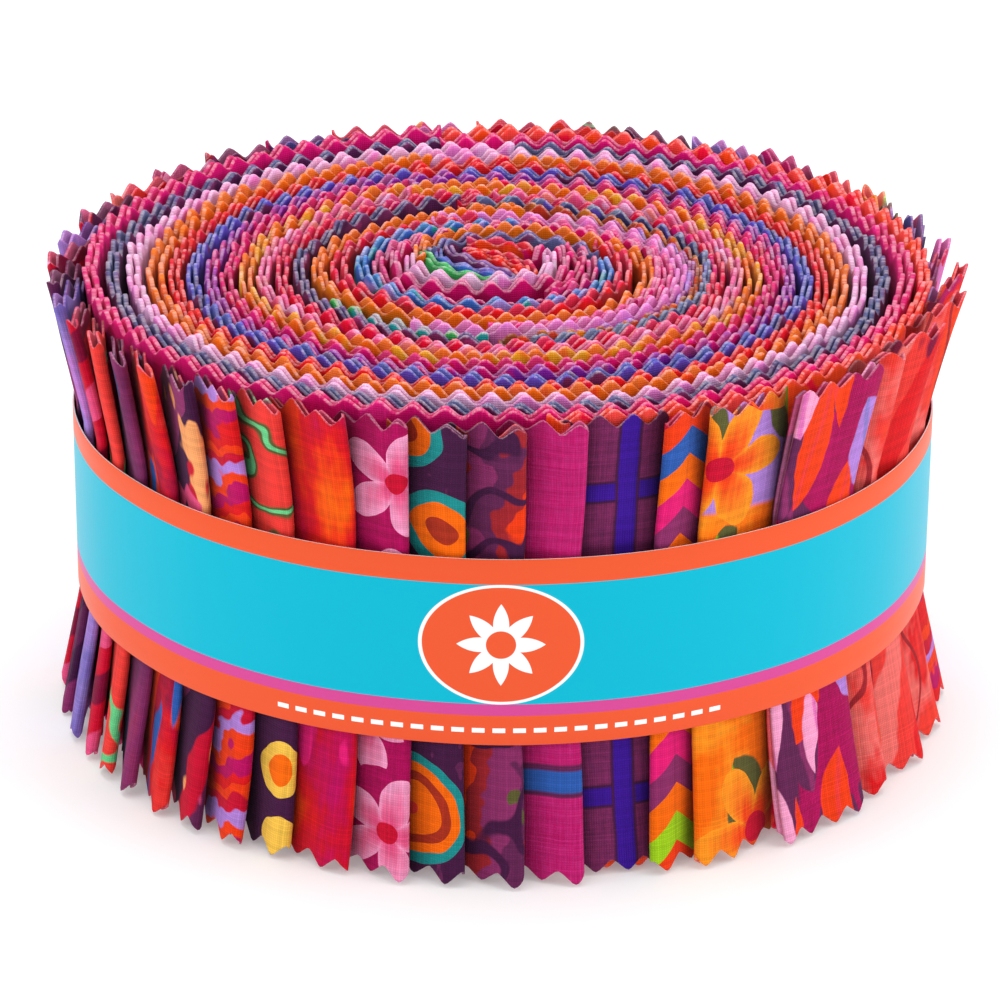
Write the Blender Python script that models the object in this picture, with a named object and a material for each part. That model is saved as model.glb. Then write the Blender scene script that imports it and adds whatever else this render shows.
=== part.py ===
"""A precut roll of quilting cotton: forty folded strips wound up together and held by a paper band.

The roll stands on one wound end, centred on the world origin, with +Z up and its front towards -Y.
Angles are in degrees, counted from the front towards +X. The strips wind outwards against them,
clockwise as seen from above.
Sizes below are in millimetres, and are turned to metres where points are made.
"""
import math
from collections import namedtuple

import bmesh
import bpy

MM = 0.001

# The strips: cut two and a half inches wide, with pinked edges
STRIP_WIDTH = 63.5
TOOTH_PITCH = 4.0
TOOTH_DEPTH = 1.9
SHEET = 1.0
GAP = 0.3

# The paper band, one inch deep, whose middle is the roll's waist
BAND_OUTER_RADIUS = 58.2
BAND_BOTTOM = 18.8
BAND_TOP = 44.3
BAND_LAP = 12.0
BAND_LAP_START = 168.0
BAND_RAMP = 6.0
BAND_RAMP_END = 1.0
BAND_STEPS = 72
LAP_STEPS = 3

# Radii at the waist, from the band inwards
BAND_INNER_RADIUS = BAND_OUTER_RADIUS - SHEET
STACK = SHEET + GAP
ROOT_RADIUS = BAND_INNER_RADIUS - 2.0 * STACK
CORE_RADIUS = ROOT_RADIUS - GAP

# The side leans out from just past the band's edges to the two rims
WAIST_MARGIN = 0.6
WAIST_BOTTOM = BAND_BOTTOM - WAIST_MARGIN
WAIST_TOP = BAND_TOP + WAIST_MARGIN
RIM_FLARE = 1.9

# The wound ends: a spiral of turns inside a pinked rim
TURNS = 10
TURN_STEPS = 44
HALF_TEETH_PER_STEP = 4
EYE_RADIUS = 3.2
EYE_DEPTH = 8.0
EYE_SHIFT_X = -1.7
EYE_STRETCH = 0.16
GROOVE_START_TURNS = 0.5
RIM_WALL = 1.0
RIM_INSET = 2.2
GROOVE_DEPTH = 3.0
MIDDLE_GROOVE_DEPTH = 9.0
MIDDLE_TURNS = 3.5
TOP_CREST_DEPTH = 0.6
BOTTOM_CREST_DEPTH = 0.0

# The loose strip ends
TUCK = 1.6
END_TIP_GAP = 0.4
FIRST_START = -87.4
SPRING_POWER = 1.3
CURL_POWER = 1.5

# Which sides of a strip end lap over: its near side, towards the end before it, and its far side
NEXT = (0.0, 1.0)
BEFORE = (1.0, 0.0)
BOTH = (1.0, 1.0)
NONE = (0.0, 0.0)

CLOTH_COLOURS = {
    "plum": (0.105, 0.024, 0.098),
    "lilac": (0.323, 0.162, 0.527),
    "violet": (0.102, 0.080, 0.434),
    "crimson": (0.578, 0.013, 0.069),
    "rust": (0.392, 0.042, 0.030),
    "coral": (0.807, 0.058, 0.045),
    "magenta": (0.392, 0.009, 0.150),
    "orange": (0.871, 0.195, 0.021),
    "pink": (0.807, 0.279, 0.479),
}
WOUND_COLOUR = (0.479, 0.030, 0.102)
PAPER_COLOUR = (0.0, 0.508, 0.658)

StripEnd = namedtuple("StripEnd", "colour arc lap top_spring bottom_spring")

# One row for each strip end, from the left of the front round by the right: the arc in degrees that
# shows, which of its two sides lap over the neighbour, and how far they spring out at the top and at
# the bottom. Nearly all lap over the next one, and a few near the front right lie the other way.
STRIP_ENDS = (
    StripEnd("plum", 7.8, NEXT, 2.0, 1.8),
    StripEnd("lilac", 7.8, NEXT, 2.3, 1.9),
    StripEnd("crimson", 6.2, NEXT, 2.2, 1.5),
    StripEnd("coral", 6.4, NEXT, 2.0, 1.8),
    StripEnd("rust", 6.0, NEXT, 2.3, 2.1),
    StripEnd("crimson", 6.7, NEXT, 2.4, 1.7),
    StripEnd("plum", 6.4, NEXT, 1.9, 2.0),
    StripEnd("crimson", 6.6, NEXT, 2.1, 2.2),
    StripEnd("coral", 6.5, NEXT, 1.8, 1.6),
    StripEnd("crimson", 8.5, NEXT, 2.2, 1.9),
    StripEnd("magenta", 7.3, NEXT, 2.1, 2.2),
    StripEnd("plum", 6.9, NEXT, 1.7, 2.0),
    StripEnd("rust", 7.2, NEXT, 2.0, 2.2),
    StripEnd("magenta", 7.3, NEXT, 2.2, 2.1),
    StripEnd("plum", 9.0, NONE, 1.9, 1.9),
    StripEnd("orange", 5.9, BEFORE, 2.1, 1.7),
    StripEnd("orange", 11.4, BEFORE, 2.3, 2.2),
    StripEnd("magenta", 15.7, BOTH, 2.2, 2.3),
    StripEnd("coral", 5.7, NEXT, 2.4, 1.9),
    StripEnd("coral", 10.9, NEXT, 2.7, 2.2),
    StripEnd("coral", 10.2, NEXT, 3.1, 2.4),
    StripEnd("crimson", 10.8, NEXT, 2.9, 2.5),
    StripEnd("pink", 10.6, NEXT, 2.2, 2.0),
    StripEnd("violet", 10.2, NEXT, 1.6, 1.8),
    StripEnd("orange", 10.9, NEXT, 1.2, 1.5),
    StripEnd("crimson", 9.8, NEXT, 1.0, 1.3),
    StripEnd("magenta", 10.4, NEXT, 1.1, 1.6),
    StripEnd("lilac", 11.0, NEXT, 0.9, 1.2),
    StripEnd("plum", 10.2, NEXT, 1.2, 1.4),
    StripEnd("coral", 10.7, NEXT, 1.0, 1.5),
    StripEnd("orange", 9.9, NEXT, 0.8, 1.3),
    StripEnd("pink", 10.6, NEXT, 1.1, 1.6),
    StripEnd("crimson", 10.9, NEXT, 1.3, 1.2),
    StripEnd("violet", 10.1, NEXT, 1.0, 1.5),
    StripEnd("rust", 10.5, NEXT, 1.2, 1.4),
    StripEnd("magenta", 9.7, NEXT, 1.4, 1.7),
    StripEnd("coral", 10.3, NEXT, 1.5, 1.5),
    StripEnd("plum", 9.6, NEXT, 1.7, 1.6),
    StripEnd("lilac", 9.0, NEXT, 1.9, 1.8),
    StripEnd("crimson", 8.2, NEXT, 2.0, 1.9),
)


def place(radius, degrees, height):
    """A point in metres, at an angle counted from the front (-Y) towards +X."""
    angle = math.radians(degrees)
    return (radius * math.sin(angle) * MM, -radius * math.cos(angle) * MM, height * MM)


def smooth(share):
    """0 to 1 with a soft start and end."""
    share = max(0.0, min(1.0, share))
    return share * share * (3.0 - 2.0 * share)


def flare(height):
    """How far the side has leaned out at a height: 0 at the waist, 1 at either rim."""
    above = (height - WAIST_TOP) / (STRIP_WIDTH - WAIST_TOP)
    below = (WAIST_BOTTOM - height) / WAIST_BOTTOM
    return max(0.0, above, below)


def add_ring_faces(bm, lower, upper):
    """Close the side between two rings that have the same number of points."""
    count = len(lower)
    for i in range(count):
        after = (i + 1) % count
        bm.faces.new((lower[i], lower[after], upper[after], upper[i]))


def settle(radius, degrees, height, rim):
    """A point of the wound end. Towards the middle the turns are drawn out sideways and sit off
    centre, as they do round a first fold that isn't round."""
    share = (1.0 - radius / rim) ** 2
    x, y, z = place(radius, degrees, height)
    return (x * (1.0 + EYE_STRETCH * share) + EYE_SHIFT_X * MM * share,
            y * (1.0 - EYE_STRETCH * share), z)


def add_wound_end(bm, plane, inward, crest_depth, eye_depth, middle_depth, rim_inner):
    """The spiral of turns that fills one end, inside the inner line of the pinked rim.

    plane is the height of the tooth tips, and inward is -1 at the top and 1 at the bottom. The
    groove is middle_depth deep round the eye, where the turns stand looser, and rises from there."""
    rim = CORE_RADIUS + RIM_FLARE - RIM_INSET
    pitch = (rim - EYE_RADIUS) / TURNS
    full_depth = GROOVE_DEPTH - crest_depth

    def point(radius, step, depth):
        degrees = -360.0 * step / TURN_STEPS
        return bm.verts.new(settle(radius, degrees, plane + inward * depth, rim))

    base = [point(rim, step, GROOVE_DEPTH) for step in range(TURN_STEPS)]

    crest = []
    for step in range(TURNS * TURN_STEPS):
        turn = step / TURN_STEPS
        sunk = max(0.0, turn - (TURNS - 1))
        crest.append(point(EYE_RADIUS + pitch * turn, step, crest_depth + full_depth * sunk))
    crest.append(base[0])

    last = (TURNS - 1) * TURN_STEPS
    groove = []
    for step in range(last + 1):
        started = min(1.0, step / TURN_STEPS / GROOVE_START_TURNS)
        radius = EYE_RADIUS + pitch * (step / TURN_STEPS + 0.5)
        loose = max(0.0, 1.0 - step / TURN_STEPS / MIDDLE_TURNS)
        depth = full_depth + (middle_depth - GROOVE_DEPTH) * loose
        groove.append(point(radius, step, crest_depth + depth * started))

    for step in range(last):
        bm.faces.new((crest[step], crest[step + 1], groove[step + 1], groove[step]))
        outer = step + TURN_STEPS
        bm.faces.new((groove[step], groove[step + 1], crest[outer + 1], crest[outer]))
    bm.faces.new((crest[last], groove[last], base[0]))
    for step in range(TURN_STEPS - 1):
        bm.faces.new((crest[last + step], crest[last + step + 1], base[step + 1], base[step]))
    bm.faces.new((crest[-2], base[0], base[-1]))

    middle = point(0.0, 0, crest_depth + eye_depth)
    for step in range(TURN_STEPS):
        bm.faces.new((middle, crest[step], crest[step + 1]))
    bm.faces.new((middle, crest[TURN_STEPS], groove[0]))
    bm.faces.new((middle, groove[0], crest[0]))

    half = HALF_TEETH_PER_STEP // 2
    count = len(rim_inner)
    for step in range(TURN_STEPS):
        start = step * HALF_TEETH_PER_STEP
        here, there = base[step], base[(step + 1) % TURN_STEPS]
        for i in range(HALF_TEETH_PER_STEP):
            corner = here if i < half else there
            bm.faces.new((corner, rim_inner[start + i], rim_inner[(start + i + 1) % count]))
        bm.faces.new((here, rim_inner[start + half], there))


def build_wound_core(material):
    """The wound form: one solid with a waisted side, pinked rims and a spiral on both ends."""
    bm = bmesh.new()
    steps = TURN_STEPS * HALF_TEETH_PER_STEP

    def ring(heights, wall=0.0):
        points = []
        for i in range(steps):
            height = heights[i % 2]
            radius = CORE_RADIUS + RIM_FLARE * flare(height) - wall
            points.append(bm.verts.new(place(radius, -360.0 * i / steps, height)))
        return points

    top = (STRIP_WIDTH, STRIP_WIDTH - TOOTH_DEPTH)
    bottom = (0.0, TOOTH_DEPTH)
    side = [ring(bottom), ring((WAIST_BOTTOM, WAIST_BOTTOM)), ring((WAIST_TOP, WAIST_TOP)), ring(top)]
    for lower, upper in zip(side, side[1:]):
        add_ring_faces(bm, lower, upper)
    bottom_inner = ring(bottom, RIM_WALL)
    top_inner = ring(top, RIM_WALL)
    add_ring_faces(bm, side[0], bottom_inner)
    add_ring_faces(bm, side[-1], top_inner)
    add_wound_end(bm, 0.0, 1.0, BOTTOM_CREST_DEPTH, 0.0, GROOVE_DEPTH, bottom_inner)
    add_wound_end(bm, STRIP_WIDTH, -1.0, TOP_CREST_DEPTH, EYE_DEPTH, MIDDLE_GROOVE_DEPTH,
                  top_inner)
    return finish_object("wound_core", bm, material)


def build_strip_end(name, row, start, material):
    """One loose folded end: a sheet whose tucked side lies against the core, under its neighbour,
    and whose lapping side climbs over the neighbour and springs out above and below the band."""
    bm = bmesh.new()
    fold_radius = ROOT_RADIUS + STACK
    width = math.radians(row.arc) * fold_radius
    count = max(3, round(width / (TOOTH_PITCH / 2.0)))
    step = width / count
    near, far = row.lap
    columns = [step * i for i in range(count + 1)]
    if not near:
        columns = [-TUCK] + columns
    if not far:
        columns = columns + [width + TUCK]
    top_tip = STRIP_WIDTH - END_TIP_GAP
    middle_top = (WAIST_TOP + STRIP_WIDTH) / 2.0
    middle_bottom = WAIST_BOTTOM / 2.0

    def inner_radius(along, height):
        share = max(0.0, min(1.0, along / width))
        from_tucked_side = along if far > near else width - along
        climb = near if near == far else smooth(from_tucked_side / (width - step))
        spring = row.top_spring if height > WAIST_TOP else row.bottom_spring
        curl = max(near * (1.0 - share) ** CURL_POWER, far * share ** CURL_POWER)
        lean = flare(height)
        return ROOT_RADIUS + STACK * climb + RIM_FLARE * lean + spring * lean ** SPRING_POWER * curl

    sheets = {0.0: [], SHEET: []}
    for i, along in enumerate(columns):
        notch = TOOTH_DEPTH * (i % 2)
        heights = (END_TIP_GAP + notch, middle_bottom, WAIST_BOTTOM, WAIST_TOP, middle_top,
                   top_tip - notch)
        degrees = math.degrees(along / fold_radius)
        for offset, sheet in sheets.items():
            sheet.append([bm.verts.new(place(inner_radius(along, h) + offset, degrees, h))
                          for h in heights])

    inner, outer = sheets[0.0], sheets[SHEET]
    for sheet in (inner, outer):
        for left, right in zip(sheet, sheet[1:]):
            for low in range(len(left) - 1):
                bm.faces.new((left[low], right[low], right[low + 1], left[low + 1]))
    for edge in (0, -1):
        for i in range(len(columns) - 1):
            bm.faces.new((inner[i][edge], inner[i + 1][edge], outer[i + 1][edge], outer[i][edge]))
        for low in range(len(inner[0]) - 1):
            bm.faces.new((inner[edge][low], inner[edge][low + 1],
                          outer[edge][low + 1], outer[edge][low]))
    end = finish_object(name, bm, material)
    end.rotation_euler.z = math.radians(start)
    return end


def build_strip_ends(materials):
    """All the loose ends, each starting where the one before stops showing."""
    ends = []
    start = FIRST_START
    for number, row in enumerate(STRIP_ENDS, start=1):
        name = f"strip_end_{number:02d}"
        ends.append(build_strip_end(name, row, start, materials[row.colour]))
        start += row.arc
    return ends


def build_paper_band(material):
    """The paper band: once round, and on over its own start for the glued lap."""
    bm = bmesh.new()
    lap = math.degrees(BAND_LAP / BAND_OUTER_RADIUS)
    ramp = math.degrees(BAND_RAMP / BAND_OUTER_RADIUS)
    ramp_start = 360.0 - ramp
    ramp_end = 360.0 - BAND_RAMP_END
    angles = [360.0 * i / BAND_STEPS for i in range(BAND_STEPS)]
    angles = [angle for angle in angles if angle < ramp_start - BAND_RAMP_END]
    angles += [ramp_start, (ramp_start + ramp_end) / 2.0, ramp_end]
    angles += [360.0 + lap * i / LAP_STEPS for i in range(1, LAP_STEPS + 1)]
    sections = []
    for angle in angles:
        lift = STACK * smooth((angle - ramp_start) / (ramp_end - ramp_start))
        inner = BAND_INNER_RADIUS + lift
        corners = ((inner, BAND_BOTTOM), (inner + SHEET, BAND_BOTTOM),
                   (inner + SHEET, BAND_TOP), (inner, BAND_TOP))
        sections.append([bm.verts.new(place(r, angle, h)) for r, h in corners])
    for here, there in zip(sections, sections[1:]):
        add_ring_faces(bm, here, there)
    bm.faces.new(sections[0])
    bm.faces.new(sections[-1])
    band = finish_object("paper_band", bm, material)
    band.rotation_euler.z = math.radians(BAND_LAP_START)
    return band


def finish_object(name, bm, material):
    """Turn the faces outwards, and make the object."""
    bmesh.ops.recalc_face_normals(bm, faces=bm.faces)
    mesh = bpy.data.meshes.new(name)
    bm.to_mesh(mesh)
    bm.free()
    mesh.materials.append(material)
    made = bpy.data.objects.new(name, mesh)
    bpy.context.scene.collection.objects.link(made)
    return made


def make_material(name, colour, roughness):
    """A plain Principled finish, never metallic."""
    material = bpy.data.materials.new(name)
    material.use_nodes = True
    shader = material.node_tree.nodes["Principled BSDF"]
    shader.inputs["Base Color"].default_value = (*colour, 1.0)
    shader.inputs["Roughness"].default_value = roughness
    shader.inputs["Metallic"].default_value = 0.0
    return material


def main():
    for old in list(bpy.data.objects):
        bpy.data.objects.remove(old)
    roll = bpy.data.objects.new("roll", None)
    bpy.context.scene.collection.objects.link(roll)
    cloths = {name: make_material(f"{name}_cotton", colour, 0.85)
              for name, colour in CLOTH_COLOURS.items()}
    pieces = [build_wound_core(make_material("wound_cotton", WOUND_COLOUR, 0.85))]
    pieces += build_strip_ends(cloths)
    pieces.append(build_paper_band(make_material("band_paper", PAPER_COLOUR, 0.45)))
    for piece in pieces:
        piece.parent = roll


main()
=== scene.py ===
"""The looks of a precut roll of quilting cotton: folded strips with pinked edges, wound up together
and held by a printed paper band.

Lengths in the tables and in the path sums are millimetres, and angles are degrees counted from the
front (-Y) towards +X. The strips wind outwards the other way, clockwise as seen from above.
"""

import math
from collections import namedtuple
from functools import partialmethod

import bpy
import numpy as np
from mathutils import Matrix, Vector


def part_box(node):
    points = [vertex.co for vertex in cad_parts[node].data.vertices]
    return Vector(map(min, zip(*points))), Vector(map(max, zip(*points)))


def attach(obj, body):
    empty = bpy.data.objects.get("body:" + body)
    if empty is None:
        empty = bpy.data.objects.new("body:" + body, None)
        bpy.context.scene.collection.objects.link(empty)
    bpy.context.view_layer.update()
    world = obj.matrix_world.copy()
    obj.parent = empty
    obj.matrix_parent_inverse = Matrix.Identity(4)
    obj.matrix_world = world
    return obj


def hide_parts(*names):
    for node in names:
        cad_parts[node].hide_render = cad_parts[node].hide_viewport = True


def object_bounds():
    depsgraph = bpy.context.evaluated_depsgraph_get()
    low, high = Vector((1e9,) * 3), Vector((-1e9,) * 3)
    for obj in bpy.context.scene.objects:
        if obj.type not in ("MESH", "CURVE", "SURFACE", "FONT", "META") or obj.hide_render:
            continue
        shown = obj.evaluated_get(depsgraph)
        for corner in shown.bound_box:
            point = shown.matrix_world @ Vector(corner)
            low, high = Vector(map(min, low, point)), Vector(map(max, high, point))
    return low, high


bl_info = {
    "name": "Quilting Strip Roll",
    "version": (1, 0, 0),
    "blender": (4, 5, 0),
    "location": "3D View > Sidebar > Strip Roll",
    "description": "Dresses a roll of folded quilting cotton strips held by a paper band",
    "category": "Add Mesh",
}

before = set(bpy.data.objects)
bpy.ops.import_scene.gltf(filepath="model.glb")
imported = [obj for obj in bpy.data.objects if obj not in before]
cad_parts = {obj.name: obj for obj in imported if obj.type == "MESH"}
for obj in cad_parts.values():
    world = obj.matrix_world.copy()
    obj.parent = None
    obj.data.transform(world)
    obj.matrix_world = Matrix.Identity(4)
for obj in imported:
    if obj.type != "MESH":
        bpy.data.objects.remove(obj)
CAD_LOW, CAD_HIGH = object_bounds()
BAND_LOW, BAND_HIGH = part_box("paper_band")

MM = 0.001
TURN = 360.0
BODY = "root"

# Where the side's waist ends and the rims begin, and the radii at the waist
WAIST_MARGIN = 0.6
CORE_RADIUS = 54.3
RIM_FLARE = 1.9
WOUND_FLARE = 2.5
TUCKED_RADIUS = 56.35
LAPPED_RADIUS = 57.75
SIDE_RADIUS = 55.9
TUCK = 3.4
FOLD_HALF_GAP = 0.7

# How a pinked edge follows its teeth further in: the drop below the tip line, and the share of the
# tooth's depth that is still followed there
Level = namedtuple("Level", "drop follow")
EDGE_LEVELS = [Level(*pair) for pair in (
    (0.0, 1.0), (0.22, 0.98), (0.7, 0.88), (1.5, 0.62), (3.0, 0.28), (5.5, 0.0))]
HIDDEN_EDGE_LEVELS = [Level(*pair) for pair in ((0.0, 1.0), (0.3, 0.97), (1.2, 0.7), (4.0, 0.0))]

# Where a tooth has its columns, how close they may lie to each other and to a ply's ends, and how
# blunt tip and notch are
TOOTH_STATIONS = (0.0, 0.1, 0.4, 0.5, 0.6, 0.9)
LEAST_STEP = 0.05
END_MARGIN = 0.15
BLUNT = 0.07
# How far teeth stray: both plies' leaning together, each ply's own, along the strip, and in height
PAIR_LEAN = 0.16
PLY_LEAN = 0.08
TOOTH_SWAY = 0.1
TOOTH_RISE = 0.1

# At its levels a wound strip's fold stands open by these shares, and its plies are this many times
# as thick as the cloth
OPENED = (1.0, 0.99, 0.97, 0.93, 0.88, 0.8, 0.8, 0.88, 0.95, 1.0)
SWELL = (1.0, 1.6, 1.8, 1.9, 2.2, 2.6, 2.6, 1.8, 1.3, 0.8)
WAIST_SWELL = 1.5
WOUND_TOOTH_SHARE = 0.82
# Light shines through the thin teeth of the wound strips, and their dyes are painted brighter to
# stand in for that light
WOUND_PAINTED_LIGHT = 1.6
# The heights at which the strips beyond a radius follow the waist, and how deep the flare reaches
WAIST_LEVELS = (51.0, 45.5, 31.0, 17.5, 11.0)
WAIST_FROM = 46.0
FLARE_REACH = 9.0
# How strips wander, as the spacing and the size of the waves: both cut edges alike, the upper edge
# alone, the opening of a fold, and the face of a loose end
SHARED_WAVES = (17.0, 0.22)
EDGE_WAVES = (9.0, 0.14)
GAP_WAVES = (5.0, 0.1)
FACE_WAVES = (6.0, 0.1)
# The slow waves that neighbouring turns share: size, waves in a turn, radius for each radian that
# they shift by, and phase
TURN_WAVES = ((0.28, 3.0, 8.0, 0.0), (0.2, 5.0, -6.0, 1.3), (0.12, 11.0, 3.5, 0.0))
# How high the lower cut edge of a wound strip lies, and how low any may lie
LOW_EDGE = 0.35
LEAST_HEIGHT = 0.05

# A loose end's levels above and below the band, and how far the nearest ones lie outside and inside
# the band's edges
UPPER_LEVELS = (54.0, 50.5, 47.5)
LOWER_LEVELS = (16.0, 13.0, 9.5)
CLEAR_OF_BAND = 0.8
UNDER_BAND = 1.5
# How much lower its tips, its inner ply and its tucked side lie
END_DROP = 0.3
INNER_DROP = 0.45
TUCKED_DROP = 1.1
# How far its folds are rounded, how its plies part towards the rims, and how far it puffs and waves
ROUNDED = 3.2
PLY_GAP = 0.34
RIM_GAP = 0.3
PUFF = 0.22
SAG = 0.12
WOBBLE = 0.16

# The band: its radius, its glued lap, the run that climbs on to it, and where in degrees it starts
BAND_RADIUS = 58.15
BAND_LAP = 12.0
BAND_RAMP = 6.0
BAND_START = 168.0
# Where the badge's white rim begins in the oval, the radii of its star, and the dashes below it
RIM_SHARE = 0.95
STAR_NOTCH = 2.6
STAR_RAY = 6.0
STAR_HEART = 1.9
DASH_PITCH = 2.6
DASH_SHARE = 0.62
DASH_HALF_HEIGHT = 0.32
DASH_REACH = 30.0
DASH_PHASE = 300.0

# How much the weave, the yarns' own dyes and soft patches change a cotton: the share and the rest
WEAVE_LIGHT = (0.26, 0.9)
YARN_LIGHT = (0.18, 0.83)
PATCH_LIGHT = (0.16, 0.92)
FRAYED_TINT = (1.0, 0.86, 0.9, 1.0)

PALETTE = {
    "magenta": "#B8085E",
    "deep_magenta": "#960648",
    "wine": "#7E0A38",
    "crimson": "#C80A30",
    "red": "#DC161C",
    "brick": "#A0242C",
    "rust": "#A8301C",
    "vermilion": "#EE3C10",
    "coral": "#EA3A34",
    "salmon": "#F0706A",
    "orange": "#F86A06",
    "bright_orange": "#FA5C0C",
    "amber": "#FA9620",
    "yellow": "#F4C24C",
    "peach": "#F8A468",
    "hot_pink": "#E41C74",
    "rose": "#E04C7E",
    "pink": "#E070B4",
    "pale_pink": "#F09CC4",
    "blush": "#F4ACC8",
    "soft_salmon": "#EC5450",
    "soft_peach": "#F88A48",
    "soft_pink": "#EC86B6",
    "shot_magenta": "#C42A7A",
    "lilac": "#B080D4",
    "orchid": "#D474C0",
    "lavender": "#8A78C4",
    "violet": "#5040A8",
    "indigo": "#3C1494",
    "purple": "#741C88",
    "slate": "#4E5480",
    "pale_slate": "#94A6C4",
    "slate_blue": "#6C86B8",
    "navy": "#30305E",
    "blue": "#2E5CAE",
    "sky": "#66A8CC",
    "teal": "#1C8C8C",
    "green": "#34A04C",
    "mint": "#66C884",
    "lime": "#9CCC1C",
    "olive": "#5C5A30",
    "plum": "#622450",
    "dark_plum": "#441840",
    "dusty_plum": "#8A2E64",
    "taupe": "#84566C",
    "white": "#FFFFFF",
}

NEXT = (0.0, 1.0)
BEFORE = (1.0, 0.0)
BOTH = (1.0, 1.0)
NONE = (0.0, 0.0)
FIRST_START = -87.4

StripEnd = namedtuple("StripEnd", "cloth slot arc lap top_spring bottom_spring lift print_at")

# One row for each strip end, from the left of the front round by the right: its cloth, the arc in
# degrees that shows, which of its sides lap over the neighbour, how far they spring out at the top
# and at the bottom, how much higher or lower the cut edge lies, and where its print starts
STRIP_ENDS = [StripEnd(*row) for row in (
    ("plum_marble", "plum", 7.8, NEXT, 2.0, 1.8, 0.1, 49),
    ("lilac_wash", "lilac", 7.8, NEXT, 2.3, 1.9, 0.2, 86),
    ("crimson_slant", "crimson", 6.2, NEXT, 2.2, 1.5, -0.3, 123),
    ("coral_scroll", "coral", 6.4, NEXT, 2.0, 1.8, -0.1, 160),
    ("plum_stroke", "rust", 6.0, NEXT, 2.3, 2.1, -0.4, 197),
    ("crimson_band", "crimson", 6.7, NEXT, 2.4, 1.7, 0.1, 128),
    ("plum_blotch", "plum", 6.4, NEXT, 1.9, 2.0, -0.2, 30),
    ("red_marble", "crimson", 6.6, NEXT, 2.1, 2.2, 0.2, 28),
    ("coral_curl", "coral", 6.5, NEXT, 1.8, 1.6, 0.0, 96),
    ("red_wash", "crimson", 8.5, NEXT, 2.2, 1.9, 0.2, 102),
    ("magenta_blossom", "magenta", 7.3, NEXT, 2.1, 2.2, 0.0, 141.5),
    ("plum_ring", "plum", 6.9, NEXT, 1.7, 2.0, -0.2, 71.5),
    ("rust_maze", "rust", 7.2, NEXT, 2.0, 2.2, -0.1, 102),
    ("magenta_stripe", "magenta", 7.3, NEXT, 2.2, 2.1, 0.2, 250),
    ("plum_window", "plum", 9.0, NONE, 1.9, 1.9, 0.0, 289.5),
    ("bright_chevron", "orange", 5.9, BEFORE, 2.1, 1.7, 0.3, 161.5),
    ("orange_bloom", "orange", 11.4, BEFORE, 2.3, 2.2, 0.2, 105),
    ("magenta_blade", "magenta", 15.7, BOTH, 2.2, 2.3, 0.1, 102),
    ("coral_wash", "coral", 5.7, NEXT, 2.4, 1.9, 0.1, 155),
    ("coral_marble", "coral", 10.9, NEXT, 2.7, 2.2, 0.0, 192),
    ("coral_wash", "coral", 10.2, NEXT, 3.1, 2.4, 0.3, 229),
    ("red_marble", "crimson", 10.8, NEXT, 2.9, 2.5, 0.1, 266),
    ("pink_blossom", "pink", 10.6, NEXT, 2.2, 2.0, -0.1, 23),
    ("violet_window", "violet", 10.2, NEXT, 1.6, 1.8, 0.0, 60),
    ("orange_bloom", "orange", 10.9, NEXT, 1.2, 1.5, 0.1, 97),
    ("red_wash", "crimson", 9.8, NEXT, 1.0, 1.3, -0.2, 134),
    ("magenta_stripe", "magenta", 10.4, NEXT, 1.1, 1.6, 0.1, 171),
    ("lilac_wash", "lilac", 11.0, NEXT, 0.9, 1.2, 0.0, 208),
    ("plum_ring", "plum", 10.2, NEXT, 1.2, 1.4, -0.1, 245),
    ("coral_curl", "coral", 10.7, NEXT, 1.0, 1.5, 0.2, 282),
    ("bright_chevron", "orange", 9.9, NEXT, 0.8, 1.3, 0.0, 39),
    ("pink_blossom", "pink", 10.6, NEXT, 1.1, 1.6, -0.2, 76),
    ("crimson_band", "crimson", 10.9, NEXT, 1.3, 1.2, 0.1, 113),
    ("violet_window", "violet", 10.1, NEXT, 1.0, 1.5, 0.0, 150),
    ("rust_maze", "rust", 10.5, NEXT, 1.2, 1.4, 0.1, 187),
    ("magenta_blossom", "magenta", 9.7, NEXT, 1.4, 1.7, -0.1, 224),
    ("coral_marble", "coral", 10.3, NEXT, 1.5, 1.5, 0.0, 261),
    ("plum_blotch", "plum", 9.6, NEXT, 1.7, 1.6, 0.2, 18),
    ("lilac_wash", "lilac", 9.0, NEXT, 1.9, 1.8, -0.1, 55),
    ("crimson_slant", "crimson", 8.2, NEXT, 2.0, 1.9, 0.1, 92),
)]

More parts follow.
